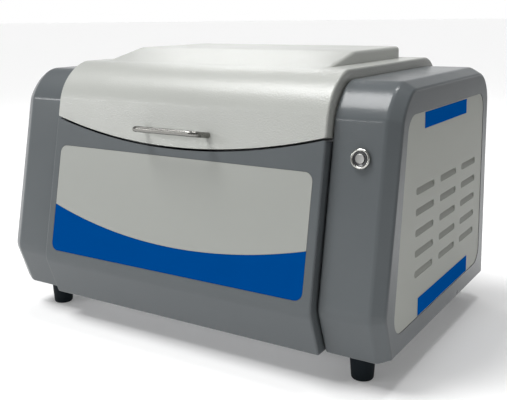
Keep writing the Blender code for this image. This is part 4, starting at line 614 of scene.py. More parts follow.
@dataclass
class SideLines:
    """The machine's side profile (y, z), which the cheeks, the front cover and the lid share."""

    depth: float = 0.387
    foot: float = 0.033
    top_z: float = 0.330
    rear_y: float = 0.190
    lean: float = math.radians(11.0)
    chin_height: float = 0.055
    chin_setback: float = 0.0215
    face_length: float = 0.2076
    brow_run: float = 0.035
    proud: float = 0.0115
    lid_brow_run: float = 0.0505
    lid_brow_radius: float = 0.066
    arc_rise: float = 0.0265
    arc_height: float = 0.1592
    band_half: float = 0.198

    def __post_init__(self) -> None:
        """Work out the ways along the profile, the cheeks' corners and those of the band between."""
        self.up = Vector((math.sin(self.lean), math.cos(self.lean)))
        self.out = Vector((-math.cos(self.lean), math.sin(self.lean)))
        chin_out = Vector((-self.chin_height, -self.chin_setback)).normalized()
        self.crease_out = (self.out + chin_out) / (1 + self.out.dot(chin_out))
        fall = Vector((self.chin_setback, -self.chin_height))
        front = -self.depth / 2 - self.crease_out.x * self.proud
        self.lower_crease = Vector((front, self.foot + self.chin_height))
        self.upper_crease = self.lower_crease + self.face_length * self.up
        self.brow_end = Vector((self.upper_crease.x + self.brow_run, self.top_z))
        self.chin_bottom = self.lower_crease + fall
        self.band_crease = self.lower_crease + self.proud * self.crease_out
        self.band_bottom = self.band_crease + fall * ((self.band_crease.y - self.foot) / self.chin_height)
        self.band_top_z = self.top_z + self.proud
        self.lid_front = self.band_crease + (self.arc_height - self.arc_rise) * self.up
        self.lid_brow_start = self.upper_crease + self.proud * self.out
        self.lid_brow_end = Vector((self.lid_brow_start.x + self.lid_brow_run, self.band_top_z))

    @staticmethod
    def round_corner(pen: Pen, corner: Vector, end: Vector, steps: int) -> None:
        """Draw the rounding of a corner, as far beyond the corner as the pen stands before it."""
        before, after = corner - pen.place, end - corner
        pen.arc(end, before.length / math.tan(before.angle(after) / 2), steps)

    def face(self, proud: float = 0.0) -> Matrix:
        """Return the leaning face's frame, Y up the face from the lower crease, Z outward."""
        origin = self.lower_crease + proud * self.out
        return frame_at((0, *origin), (1, 0, 0), (0, *self.up))

    def arc_edge(self, drop: float, extra: float = OVERRUN) -> tuple[float, float, float]:
        """Return the curved edge's half width, its end height up the face and its radius."""
        radius = (self.band_half**2 + self.arc_rise**2) / (2 * self.arc_rise)
        half = self.band_half + extra
        return half, self.arc_height - drop + radius - math.sqrt(radius**2 - half**2), radius


LINES = SideLines()


@dataclass
class Cheeks:
    """The two grey side shells, their light side panels with louvres, and the blue strips."""

    half_width: float = 0.275
    inner_x: float = 0.200
    chamfer_width: float = 0.015
    chamfer_inset: float = 0.0084
    rear_round: float = 0.050
    brow_radius: float = 0.085
    brow_blend: float = 0.013
    crease_blend: float = 0.008
    bottom_drop: float = 0.0025
    window_edge: float = 0.009
    mouth_edge: float = 0.030
    mouth_corner: float = 0.020
    panel_thickness: float = 0.0015
    panel_sink: float = 0.0006
    panel_corner: float = 0.021
    panel_lean: float = math.radians(8.6)
    panel_front: float = 0.0244
    panel_low: float = 0.0614
    panel_high: float = 0.295
    panel_rear: float = 0.161
    louvre_columns: tuple[float, ...] = (-0.06028, 0.02072, 0.10172)
    louvre_first: float = 0.1137
    louvre_pitch: float = 0.0237
    louvre_rows: int = 5
    louvre_length: float = 0.060
    louvre_height: float = 0.008
    louvre_depth: float = 0.0042
    louvre_lip: float = 0.0002
    louvre_edge: float = 0.0004
    louvre_slack: float = 0.001
    louvre_rounding: float = 0.48
    strip_thickness: float = 0.0004
    strip_edge: float = 0.0001
    upper_strip: Profile = ((-0.068, 0.276), (0.085, 0.294))
    lower_strip: Profile = ((-0.078, 0.0624), (0.106, 0.0834))

    def outline(self, shrink: float = 0.0) -> BMesh:
        """Return the cheeks' filled side profile, drawn in by shrink."""
        rear, top, turn = LINES.rear_y, LINES.top_z, self.rear_round
        centre = arc_centre(LINES.brow_end, LINES.upper_crease, self.brow_radius)
        share = Matrix.Rotation(self.brow_blend / self.brow_radius, 2)
        blend_end = centre + share @ (LINES.brow_end - centre)
        start = LINES.brow_end + Vector((self.brow_blend, 0.0))
        along = Vector((centre.y - blend_end.y, blend_end.x - centre.x))
        bend = along.angle(Vector((-1.0, 0.0)))
        radius = (blend_end - start).length / (2 * math.sin(bend / 2))
        down = (LINES.chin_bottom - LINES.lower_crease).normalized()
        pen = Pen(LINES.chin_bottom)
        pen.line((rear, LINES.foot), (rear, top - turn)).arc((rear - turn, top), turn, 20)
        pen.line(start).arc(blend_end, radius, 6).arc(LINES.upper_crease, self.brow_radius, 18)
        pen.line(LINES.lower_crease + self.crease_blend * LINES.up)
        LINES.round_corner(pen, LINES.lower_crease, LINES.lower_crease + self.crease_blend * down, 8)
        bm = pen.close()
        if shrink > 0:
            rim = ops.inset_region(
                bm, faces=bm.faces[:], thickness=shrink, use_boundary=True, use_even_offset=True,
            )["faces"]
            ops.delete(bm, geom=rim, context="FACES")
        return bm

    def block(self, shrink: float, inner_x: float) -> Form:
        """Return the right cheek's chamfered block, drawn in by shrink."""
        straight = self.half_width - self.chamfer_width
        form = Form.plate(self.outline(shrink), inner_x, straight)
        caps = [face for face in form.bm.faces if face.normal.x > FACING]
        ops.inset_region(
            form.bm, faces=caps, thickness=self.chamfer_inset, depth=self.chamfer_width - shrink,
            use_boundary=True, use_even_offset=True,
        )
        verts = {vert for face in caps for vert in face.verts}
        lowest = min(vert.co.z for vert in verts)
        for vert in verts:
            if vert.co.z < lowest + WELD:
                vert.co.z -= self.bottom_drop
        return form

    def panel_front_y(self, z: float) -> float:
        """Return the side panel's front edge at a height."""
        crease = LINES.lower_crease
        return crease.x + self.chamfer_inset + self.panel_front + (z - crease.y) * math.tan(self.panel_lean)

    def panel_outline(self, grow: float) -> BMesh:
        """Return the side panel's filled outline, grown by a clearance."""
        low, high, rear = self.panel_low, self.panel_high, self.panel_rear
        corners = [
            (self.panel_front_y(low), low), (rear, low), (rear, high), (self.panel_front_y(high), high)
        ]
        return polygon(corners, self.panel_corner + grow, grow)

    def shell(self) -> Form:
        """Return the right cheek as a shell with its rounded edges."""
        cheek = self.block(0.0, self.inner_x).soften(EDGE_ROUND, 4, angle=12.0)
        hollow = self.block(SKIN, self.inner_x + SKIN)
        wall, beyond = self.half_width - SKIN, self.half_width + OVERRUN
        corners = [
            LINES.chin_bottom, (LINES.rear_y, LINES.foot), (LINES.rear_y, LINES.top_z), LINES.brow_end,
            LINES.upper_crease, LINES.lower_crease,
        ]
        opening = polygon(corners, self.mouth_corner, -self.mouth_edge)
        mouth = Form.plate(opening, self.inner_x - OVERRUN, self.inner_x + SKIN + OVERRUN)
        window = Form.plate(self.panel_outline(-self.window_edge), wall - OVERRUN, beyond)
        floor = self.half_width - self.panel_thickness - self.panel_sink - FIT
        seat = Form.plate(self.panel_outline(FIT), floor, beyond)
        return cheek.cut(hollow.fuse(mouth, window), seat)

    def panel(self) -> Form:
        """Return the right side panel with its louvres pressed inward."""
        bm = self.panel_outline(0.0)
        margin = (self.louvre_pitch - self.louvre_height) / 2
        self._split_round_louvres(bm, self.louvre_length / 2 + margin)
        ops.transform(bm, matrix=shift(self.half_width - self.panel_sink, 0, 0) @ SIDE_VIEW, verts=bm.verts)
        cells = [face for face in bm.faces if self._is_louvre(face.calc_center_median())]
        ops.inset_individual(bm, faces=cells, thickness=margin, use_even_offset=True)
        for cell in cells:
            self._press(bm, cell)
        form = Form(bm).faced()
        if sum(face.normal.x * face.calc_area() for face in bm.faces) < 0:
            ops.reverse_faces(bm, faces=bm.faces)
        form.soften(self.louvre_edge, 2, angle=28.0)
        ops.solidify(bm, geom=bm.faces[:], thickness=self.panel_thickness * 2 / 3)
        return form

    def _split_round_louvres(self, bm: BMesh, reach: float) -> None:
        """Cut the panel's face into a cell round each louvre."""
        lines = [((y + side * reach, 0, 0), (1, 0, 0)) for y in self.louvre_columns for side in (-1, 1)]
        first = self.louvre_first - self.louvre_pitch / 2
        lines += [((0, first + row * self.louvre_pitch, 0), (0, 1, 0)) for row in range(self.louvre_rows + 1)]
        for place, way in lines:
            ops.bisect_plane(
                bm, geom=bm.verts[:] + bm.edges[:] + bm.faces[:], plane_co=place, plane_no=way,
            )

    def _is_louvre(self, middle: Vector) -> bool:
        """Tell whether a cell's middle is a louvre's middle."""
        row = round((middle.z - self.louvre_first) / self.louvre_pitch)
        off = middle.z - self.louvre_first - row * self.louvre_pitch
        near_row = 0 <= row < self.louvre_rows and abs(off) < self.louvre_slack
        return near_row and any(abs(middle.y - y) < self.louvre_slack for y in self.louvre_columns)

    def _press(self, bm: BMesh, cell: BMFace) -> None:
        """Press one louvre into the panel: deep and open along its top, flush along its bottom."""
        middle = cell.calc_center_median()
        floor = ops.extrude_discrete_faces(bm, faces=[cell])["faces"][0]
        for vert in floor.verts:
            share = (vert.co.z - middle.z) / self.louvre_height + 0.5
            vert.co.x -= self.louvre_lip + self.louvre_depth * share
        walls = [edge for edge in bm.edges if sum(vert in floor.verts for vert in edge.verts) == 1]
        ops.bevel(
            bm, geom=walls, offset=self.louvre_height * self.louvre_rounding, segments=8, profile=0.5,
            affect="EDGES", material=-1,
        )
        top = [
            face for face in bm.faces
            if abs(face.calc_center_median().z - middle.z - self.louvre_height / 2) < WELD
            and abs(face.calc_center_median().y - middle.y) < self.louvre_slack
            and abs(face.normal.z) > FACING
        ]
        ops.delete(bm, geom=top, context="FACES_ONLY")

    def build(self) -> None:
        """Make both cheeks with their panels and strips."""
        made = {"cheek": (self.shell(), GREY_PAINT), "side_panel": (self.panel(), SIDE_PAINT)}
        face = self.half_width - self.panel_sink
        # The strips take the lighter blue, painted light against the shade on the sides.
        for word, (low, high) in (("upper", self.upper_strip), ("lower", self.lower_strip)):
            strip = Form.block((face + FIT / 3, *low), (face + self.strip_thickness, *high))
            made[f"{word}_strip"] = (strip.soften(self.strip_edge, 1), STRIP_BLUE_PAINTED_LIGHT)
        for part, (form, look) in made.items():
            form.mirrored().finish(f"left_{part}", look)
            form.finish(f"right_{part}", look)


@dataclass
class FrontCover:
    """The grey front cover with its light panel and plain blue sweep."""

    cover_return: float = 0.022
    crease_blend: float = 0.008
    seal_height: float = 0.005
    seal_round: float = 0.0012
    lid_gap: float = 0.0028
    panel_half: float = 0.1865
    panel_low: float = 0.0087
    panel_high: float = 0.147
    panel_corner: float = 0.010
    recess: float = 0.0012
    thickness: float = 0.0009
    panel_edge: float = 0.0002
    sweep_radius: float = 0.683
    sweep_height: float = 0.040
    sweep_offset: float = 0.011

    def cover(self) -> Form:
        """Return the cover: chin and face, hollow behind, with its curved top edge."""
        half, crease, bottom = LINES.band_half, LINES.band_crease, LINES.band_bottom
        top = crease + (LINES.arc_height + LINES.arc_rise) * LINES.up
        back_bottom = bottom + Vector((self.cover_return, 0))
        back_crease = crease - self.cover_return * LINES.crease_out
        back_top = top - self.cover_return * LINES.out
        down = (bottom - crease).normalized()
        pen = Pen(bottom).line(back_bottom, back_crease, back_top, top, crease + self.crease_blend * LINES.up)
        LINES.round_corner(pen, crease, crease + self.crease_blend * down, 8)
        form = Form.plate(pen.close(), -half, half)
        form.soften(
            EDGE_ROUND, 4, angle=25.0,
            where=lambda middle: abs(middle.x) > half - WELD or middle.z < bottom.y + WELD,
        )
        inside = polygon([bottom, back_bottom, back_crease, back_top, top, crease], 0.0, -SKIN)
        form.cut(Form.plate(inside, SKIN - half, half - SKIN))
        half, end, radius = LINES.arc_edge(self.lid_gap)
        roof = LINES.arc_height + 2 * LINES.arc_rise
        above = Pen((half, roof)).line((-half, roof), (-half, end)).arc((half, end), radius, 64).close()
        face = LINES.face(LINES.proud)
        form.cut(Form.plate(above, -2 * self.cover_return, self.cover_return, face))
        low, high = (-self.panel_half, self.panel_low), (self.panel_half, self.panel_high)
        return form.cut(
            Form.plate(rectangle(low, high, self.panel_corner + FIT, FIT), -self.recess, OVERRUN, face)
        )

    def sweep_at(self, x: float) -> float:
        """Return the sweep's upper edge at a place across the panel."""
        drop = self.sweep_radius - math.sqrt(self.sweep_radius**2 - (x - self.sweep_offset) ** 2)
        return self.sweep_height + drop

    def panels(self) -> list[Form]:
        """Return the light panel and the blue sweep below it."""
        half, low, high, turn = self.panel_half, self.panel_low, self.panel_high, self.panel_corner
        left, right, gap = self.sweep_at(-half), self.sweep_at(half), FIT / 2
        light = (
            Pen((-half, left + gap)).arc((half, right + gap), self.sweep_radius, 64)
            .line((half, high - turn)).arc((half - turn, high), turn, 10)
            .line((turn - half, high)).arc((-half, high - turn), turn, 10).close()
        )
        blue = (
            Pen((-half, low + turn)).arc((turn - half, low), turn, 10)
            .line((half - turn, low)).arc((half, low + turn), turn, 10)
            .line((half, right - gap)).arc((-half, left - gap), -self.sweep_radius, 64).close()
        )
        face, near = LINES.face(LINES.proud), FIT - self.recess
        made = [Form.plate(outline, near, near + self.thickness, face) for outline in (light, blue)]
        return [form.soften(self.panel_edge, 2) for form in made]

    def seal(self) -> Form:
        """Return the foam seal that lies along the cover's curved top edge."""
        half, high, radius = LINES.arc_edge(self.lid_gap + FIT, -SKIN - FIT)
        low = high - self.seal_height
        pen = Pen((-half, low)).arc((half, low), radius, 64).line((half, high)).arc((-half, high), -radius, 64)
        deep = self.cover_return - SKIN - FIT
        return Form.plate(pen.close(), -deep, -SKIN - FIT, LINES.face(LINES.proud)).soften(self.seal_round)

    def build(self) -> None:
        """Make the cover, its two panels and its seal."""
        self.seal().finish("cover_seal", FOAM, nodes=())
        self.cover().finish("front_cover", GREY_PAINT)
        light, blue = self.panels()
        light.finish("front_panel", PANEL_PAINT)
        blue.finish("front_sweep", BLUE, nodes=("front_panel_sweep",))


@dataclass
class Lid:
    """The lid's shell with its plateau."""

    rim_depth: float = 0.022
    outer_share: float = 0.8
    rear_y: float = 0.180
    rear_bottom: float = 0.316
    rear_round: float = 0.050
    rear_overshoot: float = 0.015
    plateau_half: float = 0.169
    plateau_rise: float = 0.0155
    plateau_slope: float = 0.072
    plateau_front: float = 0.012
    plateau_rear: float = 0.1352
    plateau_corner: float = 0.018
    plateau_edge: float = 0.0045

    def _brow_place(self, depth: float, at_start: bool) -> Vector:
        """Return a brow end's place at a depth under the skin."""
        start, end = LINES.lid_brow_start, LINES.lid_brow_end
        centre = arc_centre(end, start, LINES.lid_brow_radius)
        way = ((start if at_start else end) - centre).normalized()
        return centre + way * (LINES.lid_brow_radius - depth)

    def section(self, skin: float, under: float, foot_y: float, foot_z: float) -> BMesh:
        """Fill the lid's side outline.

        Args:
            skin: how deep its outer line lies under the lid's outside.
            under: how deep its inner line lies.
            foot_y: the inner line's rear end.
            foot_z: the rear wall's lowest point.

        Returns:
            The filled outline on the side view's plane.
        """
        top, radius = LINES.band_top_z, self.rear_round
        centre = Vector((self.rear_y - radius + self.rear_overshoot, top - radius))
        rear = self.rear_y - skin
        rise = math.sqrt((radius - skin) ** 2 - (rear - centre.x) ** 2)
        brow = LINES.lid_brow_radius
        return (
            Pen((rear, foot_z))
            .line((rear, centre.y + rise))
            .arc((centre.x, top - skin), radius - skin, 16)
            .line(self._brow_place(skin, False))
            .arc(self._brow_place(skin, True), brow - skin, 28)
            .line(LINES.lid_front - skin * LINES.out, LINES.lid_front - under * LINES.out)
            .line(self._brow_place(under, True))
            .arc(self._brow_place(under, False), under - brow, 28)
            .line((foot_y, top - under), (foot_y, foot_z))
            .close()
        )

    def below_edge(self, lift: float) -> Form:
        """Return the cutter below the lid's curved front edge, the edge raised by lift."""
        half, end, radius = LINES.arc_edge(-lift)
        outline = Pen((-half, 0)).line((half, 0), (half, end)).arc((-half, end), -radius, 64).close()
        return Form.plate(outline, -2 * self.rim_depth, OVERRUN, LINES.face(LINES.proud))

    def plateau(self, inset: float) -> Form:
        """Return the plateau's block, drawn in by inset."""
        front = LINES.lid_brow_end.x + self.plateau_front + inset
        rear, half = self.plateau_rear - inset, self.plateau_half - inset
        top = LINES.band_top_z + self.plateau_rise - inset
        under = LINES.band_top_z - SKIN - inset
        toe = front - SKIN * self.plateau_slope / self.plateau_rise
        outline = Pen((toe, under)).line((rear, under), (rear, top), (front + self.plateau_slope, top)).close()
        form = Form.plate(outline, -half, half)
        form.soften(
            self.plateau_corner - inset, 10, angle=45.0,
            where=lambda middle: middle.y > rear - WELD and abs(middle.x) > half - WELD,
        )
        if inset == 0:
            low = under + SKIN + WELD * 10
            form.soften(self.plateau_edge, 5, angle=10.0, where=lambda middle: middle.z > low)
        return form

    def shell(self) -> Form:
        """Return the lid's shell."""
        half, rim, wall = LINES.band_half, self.rim_depth, self.rear_y - SKIN
        lid = Form.plate(self.section(0.0, rim, wall - OVERRUN / 2, self.rear_bottom), -half, half)
        lid.soften(EDGE_ROUND, 4, angle=12.0, where=self._is_outer)
        inside = self.section(SKIN, rim + OVERRUN, wall - SKIN, self.rear_bottom - OVERRUN)
        hollow = Form.plate(inside, SKIN - half, half - SKIN).cut(self.below_edge(SKIN))
        return lid.fuse(self.plateau(0.0)).cut(hollow, self.plateau(SKIN), self.below_edge(0.0))

    def _is_outer(self, middle: Vector) -> bool:
        """Tell whether a point lies near the lid's outside and not on its underside."""
        reach = self.rim_depth * self.outer_share
        centre = arc_centre(LINES.lid_brow_end, LINES.lid_brow_start, LINES.lid_brow_radius)
        place = Vector((middle.y, middle.z))
        if middle.z > LINES.band_top_z - reach and middle.y > centre.x:
            return True
        if (place - centre).length > LINES.lid_brow_radius - reach and middle.z > centre.y:
            return True
        return middle.z < centre.y and (LINES.lid_front - place).dot(LINES.out) < reach

    def build(self) -> None:
        """Make the lid's shell."""
        self.shell().finish("lid_shell", LID_PAINT, Body.LID)


@dataclass
class Handle:
    """The steel bow handle on the lid's front."""

    span: float = 0.092
    radius: float = 0.0036
    standoff: float = 0.027
    bend: float = 0.010
    up_face: float = 0.1765

    def build(self) -> None:
        """Bend the handle from one round rod."""
        bm = bmesh.new()
        half, knee = self.span / 2, self.standoff - self.bend
        ring = ops.create_circle(bm, segments=28, radius=self.radius)["verts"]
        ops.translate(bm, vec=(-half, 0, FIT), verts=ring)
        edges = self._push(bm, edges_of(ring), (0, 0, knee - FIT))
        edges = self._bend(bm, edges, (self.bend - half, 0, knee))
        edges = self._push(bm, edges, (self.span - 2 * self.bend, 0, 0), 12)
        edges = self._bend(bm, edges, (half - self.bend, 0, knee))
        self._push(bm, edges, (0, 0, FIT - knee))
        ops.holes_fill(bm, edges=[edge for edge in bm.edges if edge.is_boundary], sides=0)
        rod = Form(bm).moved(LINES.face(LINES.proud) @ shift(0, self.up_face, 0)).faced()
        rod.finish("handle", SATIN, Body.LID)

    @staticmethod
    def _push(bm: BMesh, edges: list[BMEdge], way: Point, steps: int = 2) -> list[BMEdge]:
        """Push a ring of edges straight on and return the new ring."""
        for _ in range(steps):
            made = ops.extrude_edge_only(bm, edges=edges)["geom"]
            verts = [part for part in made if isinstance(part, BMVert)]
            ops.translate(bm, vec=Vector(way) / steps, verts=verts)
            edges = [
                part for part in made if isinstance(part, BMEdge) and all(vert in verts for vert in part.verts)
            ]
        return edges

    @staticmethod
    def _bend(bm: BMesh, edges: list[BMEdge], centre: Point) -> list[BMEdge]:
        """Bend a ring of edges by a quarter turn and return the new ring."""
        verts = list(dict.fromkeys(vert for edge in edges for vert in edge.verts))
        made = ops.spin(
            bm, geom=verts + edges, cent=centre, axis=(0, 1, 0), angle=math.pi / 2, steps=12,
        )
        return [part for part in made["geom_last"] if isinstance(part, BMEdge)]


@dataclass
class PowerButton:
    """The round steel push button on the right cheek: bezel, dark lens ring and cap."""

    x: float = 0.235
    up_face: float = 0.1665
    bezel: Profile = (
        (0.00575, -0.018), (0.0095, -0.018), (0.0095, 0.0003), (0.0112, 0.0003), (0.0112, 0.0024),
        (0.01105, 0.0032), (0.0107, 0.0039), (0.0102, 0.0043), (0.0097, 0.0045), (0.0092, 0.0044),
        (0.0087, 0.0041), (0.0083, 0.0035), (0.0081, 0.0027), (0.00575, 0.0024),
    )
    lens: Profile = (
        (0.00575, 0.0022), (0.0080, 0.0024), (0.0080, 0.0032), (0.0077, 0.0034), (0.0060, 0.0032),
        (0.00575, 0.0030),
    )
    cap: Profile = (
        (0.0, -0.008), (0.0054, -0.008), (0.0054, 0.0036), (0.0052, 0.0040), (0.0048, 0.0042),
        (0.0044, 0.0041), (0.0, 0.0038),
    )

    def build(self) -> None:
        """Turn the button's pieces."""
        frame = LINES.face() @ shift(self.x, self.up_face, 0)
        bezel, lens, cap = (
            Form.turned(profile, frame, steps)
            for profile, steps in ((self.bezel, 64), (self.lens, 48), (self.cap, 48))
        )
        bezel.finish("button_bezel", POLISHED, nodes=("power_button_bezel",), crease=40.0)
        lens.finish("button_lens", LENS, nodes=())
        cap.finish("button_cap", BUTTON_FACE, Body.BUTTON, ("power_button_cap",), crease=40.0)


@dataclass
class Feet:
    """The four tapered rubber feet."""

    x: float = 0.2315
    front_y: float = -0.13107
    rear_y: float = 0.161
    profile: Profile = (
        (0.0, 0.004), (0.0045, 0.004), (0.0050, 0.0), (0.0105, 0.0), (0.0117, 0.0005), (0.0125, 0.0016),
        (0.0128, 0.0032), (0.0149, 0.0318), (0.0146, 0.0326), (0.0140, 0.0327), (0.0050, 0.0327),
        (0.0050, 0.036), (0.0, 0.036),
    )

    def build(self) -> None:
        """Turn the feet."""
        for side in Side:
            for word, y in (("front", self.front_y), ("rear", self.rear_y)):
                foot = Form.turned(self.profile, shift(side.value * self.x, y, 0), 40)
                foot.finish(f"foot_{word}_{side.word}", RUBBER, crease=50.0)


SCREW_PROFILE: Profile = ((1.0, 0.35), (0.93, 0.7), (0.72, 0.93), (0.4, 1.0), (0.0, 1.0))
SCREW_SUNK = 0.0004
RECESS = (0.55, 0.1, 0.35)  # a cross recess's reach and half width by the radius, its floor by the height


def screw(frame: Matrix, radius: float, height: float) -> Form:
    """Make a pan-head screw's head with its cross recess.

    Args:
        frame: its Z points out of the surface that the head lies on.
        radius: the head's radius.
        height: the head's height.

    Returns:
        The head.
    """
    above = [(radius * out, height * up) for out, up in SCREW_PROFILE]
    head = Form.turned([(0.0, -SCREW_SUNK), (radius, -SCREW_SUNK), *above], Matrix.Identity(4), 24)
    reach, half, floor = radius * RECESS[0], radius * RECESS[1], height * RECESS[2]
    for wide, deep in ((reach, half), (half, reach)):
        head.cut(Form.block((-wide, -deep, floor), (wide, deep, height * 2)))
    return head.moved(frame)


@dataclass
class Rear:
    """The rear side: fan guards and rotors, hinges, the top cover's curve and the screws."""

    face_y: float = 0.190
    fan_x: float = 0.110
    fan_y: float = 0.188
    fan_z: float = 0.150
    wire: float = 0.0009
    guard_out: float = 0.0036
    rings: tuple[float, ...] = (0.010, 0.0178, 0.0256, 0.0334, 0.0401)
    eye: float = 0.0036
    spoke_end: float = 0.0475
    screw_reach: float = 0.0505
    hub: Profile = (
        (0.0, 0.0013), (0.0148, 0.0013), (0.0156, 0.0017), (0.016, 0.0026), (0.016, 0.021), (0.0, 0.021),
    )
    blades: int = 7
    blade_root: float = 0.015
    blade_tip: float = 0.0358
    blade_low: float = 0.005
    blade_curl: float = 0.0045
    blade_sweep: float = math.radians(44)
    blade_sheet: float = 0.0011
    blade_twist: float = 0.0012
    hinge_x: float = 0.130
    hinge_half: float = 0.030
    hinge_y: float = 0.1876
    hinge_z: float = 0.3173
    hinge_split: float = 0.0252
    barrel: float = 0.005
    barrel_edge: float = 0.0005
    bore: float = 0.0026
    pin: float = 0.0025
    pin_end: float = 0.0006
    pin_short: tuple[float, float] = (0.001, 0.002)
    leaf: float = 0.002
    leaf_corner: float = 0.003
    leaf_edge: float = 0.0004
    leaf_y: float = 0.180 + FIT
    leaf_foot: float = 0.055
    leaf_drop: float = 0.009
    lid_leaf_high: float = 0.0102
    cover_half: float = 0.1997
    cover_low: float = 0.2803
    cover_top: float = 0.3185
    cover_front: float = 0.164
    cover_bend: float = 0.1719
    cover_inner_bend: float = 0.17117
    cover_radius: float = 0.050
    cover_sheet: float = 0.002
    panel_screws: tuple[tuple[float, ...], tuple[float, ...]] = ((-0.188, -0.064, 0.064, 0.188), (0.048, 0.250))
    hinge_screws: Profile = ((-0.021, 0.021), (0.018, 0.045))
    screw_radius: float = 0.0028
    screw_height: float = 0.0026
    hinge_screw_height: float = 0.0008

    def fan_frame(self, side: Side) -> Matrix:
        """Return a fan's frame, its Z into the machine."""
        return rear_frame(side.value * self.fan_x, self.fan_y, self.fan_z)

    def _wire_ring(self, bm: BMesh, radius: float, steps: int) -> None:
        """Add a closed ring of wire round the mesh's Z axis."""
        start = ops.create_circle(bm, segments=10, radius=self.wire)["verts"]
        ops.rotate(bm, verts=start, cent=(0, 0, 0), matrix=Matrix.Rotation(math.pi / 2, 3, "X"))
        ops.translate(bm, vec=(radius, 0, 0), verts=start)
        ops.spin(
            bm, geom=start + edges_of(start), cent=(0, 0, 0), axis=(0, 0, 1), angle=FULL_TURN, steps=steps,
            use_merge=True,
        )

    def guard(self, side: Side) -> Form:
        """Bend one finger guard from round wire: its rings, four spokes and their screw eyes."""
        bm = bmesh.new()
        for radius in self.rings:
            self._wire_ring(bm, radius, 56)
        inner, outer = self.rings[0], self.spoke_end
        lay = shift((inner + outer) / 2, 0, self.wire) @ Matrix.Rotation(math.pi / 2, 4, "Y")
        for turn in range(4):
            spoke = ops.create_cone(
                bm, cap_ends=True, segments=10, radius1=self.wire, radius2=self.wire, depth=outer - inner
            )["verts"]
            place = about_z(math.pi / 4 + turn * math.pi / 2)
            ops.transform(bm, matrix=place @ lay, verts=spoke)
            self._wire_ring(bm, self.eye, 24)
            eye = [vert for vert in bm.verts if vert.co.xy.length < self.eye + self.wire + WELD]
            ops.transform(bm, matrix=place @ shift(self.screw_reach, 0, self.wire), verts=eye)
        ops.transform(bm, matrix=self.fan_frame(side) @ shift(0, 0, -self.guard_out), verts=bm.verts)
        ops.remove_doubles(bm, verts=bm.verts, dist=WELD)
        return Form(bm).faced()

    def rotor(self, side: Side) -> Form:
        """Make one fan rotor: a rounded hub and twisted blades."""
        hub, root = Form.turned(self.hub, Matrix.Identity(4), 40), self.blade_root
        shares = (0.25, 0.5, 0.75, 1.0)
        points = [(root + (self.blade_tip - root) * share, -self.blade_curl * share**2) for share in shares]
        for index in range(self.blades):
            bm = Pen((root, 0)).line(*points).bm
            ops.translate(bm, vec=(0, 0, self.blade_low), verts=bm.verts)
            ops.spin(
                bm, geom=bm.verts[:] + bm.edges[:], cent=(0, 0, 0), axis=(0, 0, 1), angle=self.blade_sweep,
                dvec=(0, 0, self.blade_twist), steps=10,
            )
            blade = Form(bm).faced()
            ops.solidify(bm, geom=bm.faces[:], thickness=self.blade_sheet)
            hub.add(blade.moved(about_z(FULL_TURN * index / self.blades)))
        return hub.moved(self.fan_frame(side))

    def _barrel(self, start: float, end: float) -> Form:
        """Turn a hinge's barrel between two places across the machine."""
        edge, radius = self.barrel_edge, self.barrel
        profile = [(self.bore, start), (radius - edge, start), (radius, start + edge), (radius, end - edge),
                   (radius - edge, end), (self.bore, end)]
        return Form.turned(profile, SIDE_VIEW @ shift(self.hinge_y, self.hinge_z, 0), 32)

    def hinge(self, side: Side) -> tuple[Form, Form]:
        """Make one lift-off hinge: the body leaf with its pin, and the lid leaf with its knuckle."""
        low, high = side.value * self.hinge_x - self.hinge_half, side.value * self.hinge_x + self.hinge_half
        split, rear, drop = low + self.hinge_split, self.hinge_y + self.barrel, self.hinge_z - self.leaf_drop
        leaf = rectangle((low, self.hinge_z - self.leaf_foot), (high, drop), self.leaf_corner)
        body = Form.plate(leaf, 0, self.leaf + FIT, rear_frame(0, rear, 0)).soften(self.leaf_edge, 2)
        tab = Form.block((low, rear - self.leaf, drop - OVERRUN), (split - FIT, rear, self.hinge_z))
        near, start = self.hinge_z + FIT, split + FIT
        foot, stop = low + self.pin_short[0], high - self.pin_short[1]
        pin = [(0.0, foot), (self.pin, foot), (self.pin, stop - self.pin_end),
               (self.pin - self.pin_end, stop), (0.0, stop)]
        axis = SIDE_VIEW @ shift(self.hinge_y, self.hinge_z, 0)
        body.fuse(tab, self._barrel(low, split - 2 * FIT)).add(Form.turned(pin, axis, 24))
        plate = Form.block((low, self.leaf_y, near), (high, self.leaf_y + self.leaf, near + self.lid_leaf_high))
        web = Form.block((start, self.leaf_y, near - 2 * FIT), (high, self.hinge_y, self.hinge_z + self.leaf))
        return body, plate.soften(self.leaf_edge, 2).fuse(web, self._barrel(start, high))

    def top_cover(self) -> Form:
        """Bend the sheet that rounds the rear top edge between the cheeks."""
        sheet, low, top, front = self.cover_sheet, self.cover_low, self.cover_top, self.cover_front
        pen = Pen((self.face_y - sheet, low)).line((self.face_y, low))
        pen.arc((self.cover_bend, top), self.cover_radius, 20)
        pen.line((front, top), (front, top - sheet), (self.cover_inner_bend, top - sheet))
        pen.arc((self.face_y - sheet, low), sheet - self.cover_radius, 20)
        return Form.plate(pen.close(), -self.cover_half, self.cover_half)

    def screws(self) -> Form:
        """Place the screws of the rear panel, fans and hinges."""
        (columns, rows), (across, drops) = self.panel_screws, self.hinge_screws
        reach = self.screw_reach / math.sqrt(2)
        on_panel = [(x, z) for x in columns for z in rows]
        on_panel += [(x, self.fan_z) for x in (columns[0], columns[-1])]
        on_hinges = []
        for side in Side:
            hinge_x, fan_x = side.value * self.hinge_x, side.value * self.fan_x
            on_panel += [(fan_x + x, self.fan_z + z) for x in (-reach, reach) for z in (-reach, reach)]
            on_hinges += [(hinge_x + x, self.hinge_z - drop) for x in across for drop in drops]
        form = Form()
        for places, y, height in (
            (on_panel, self.face_y, self.screw_height),
            (on_hinges, self.hinge_y + self.barrel, self.hinge_screw_height),
        ):
            for x, z in places:
                form.add(screw(frame_at((x, y, z), (-1, 0, 0), (0, 0, 1)), self.screw_radius, height))
        return form

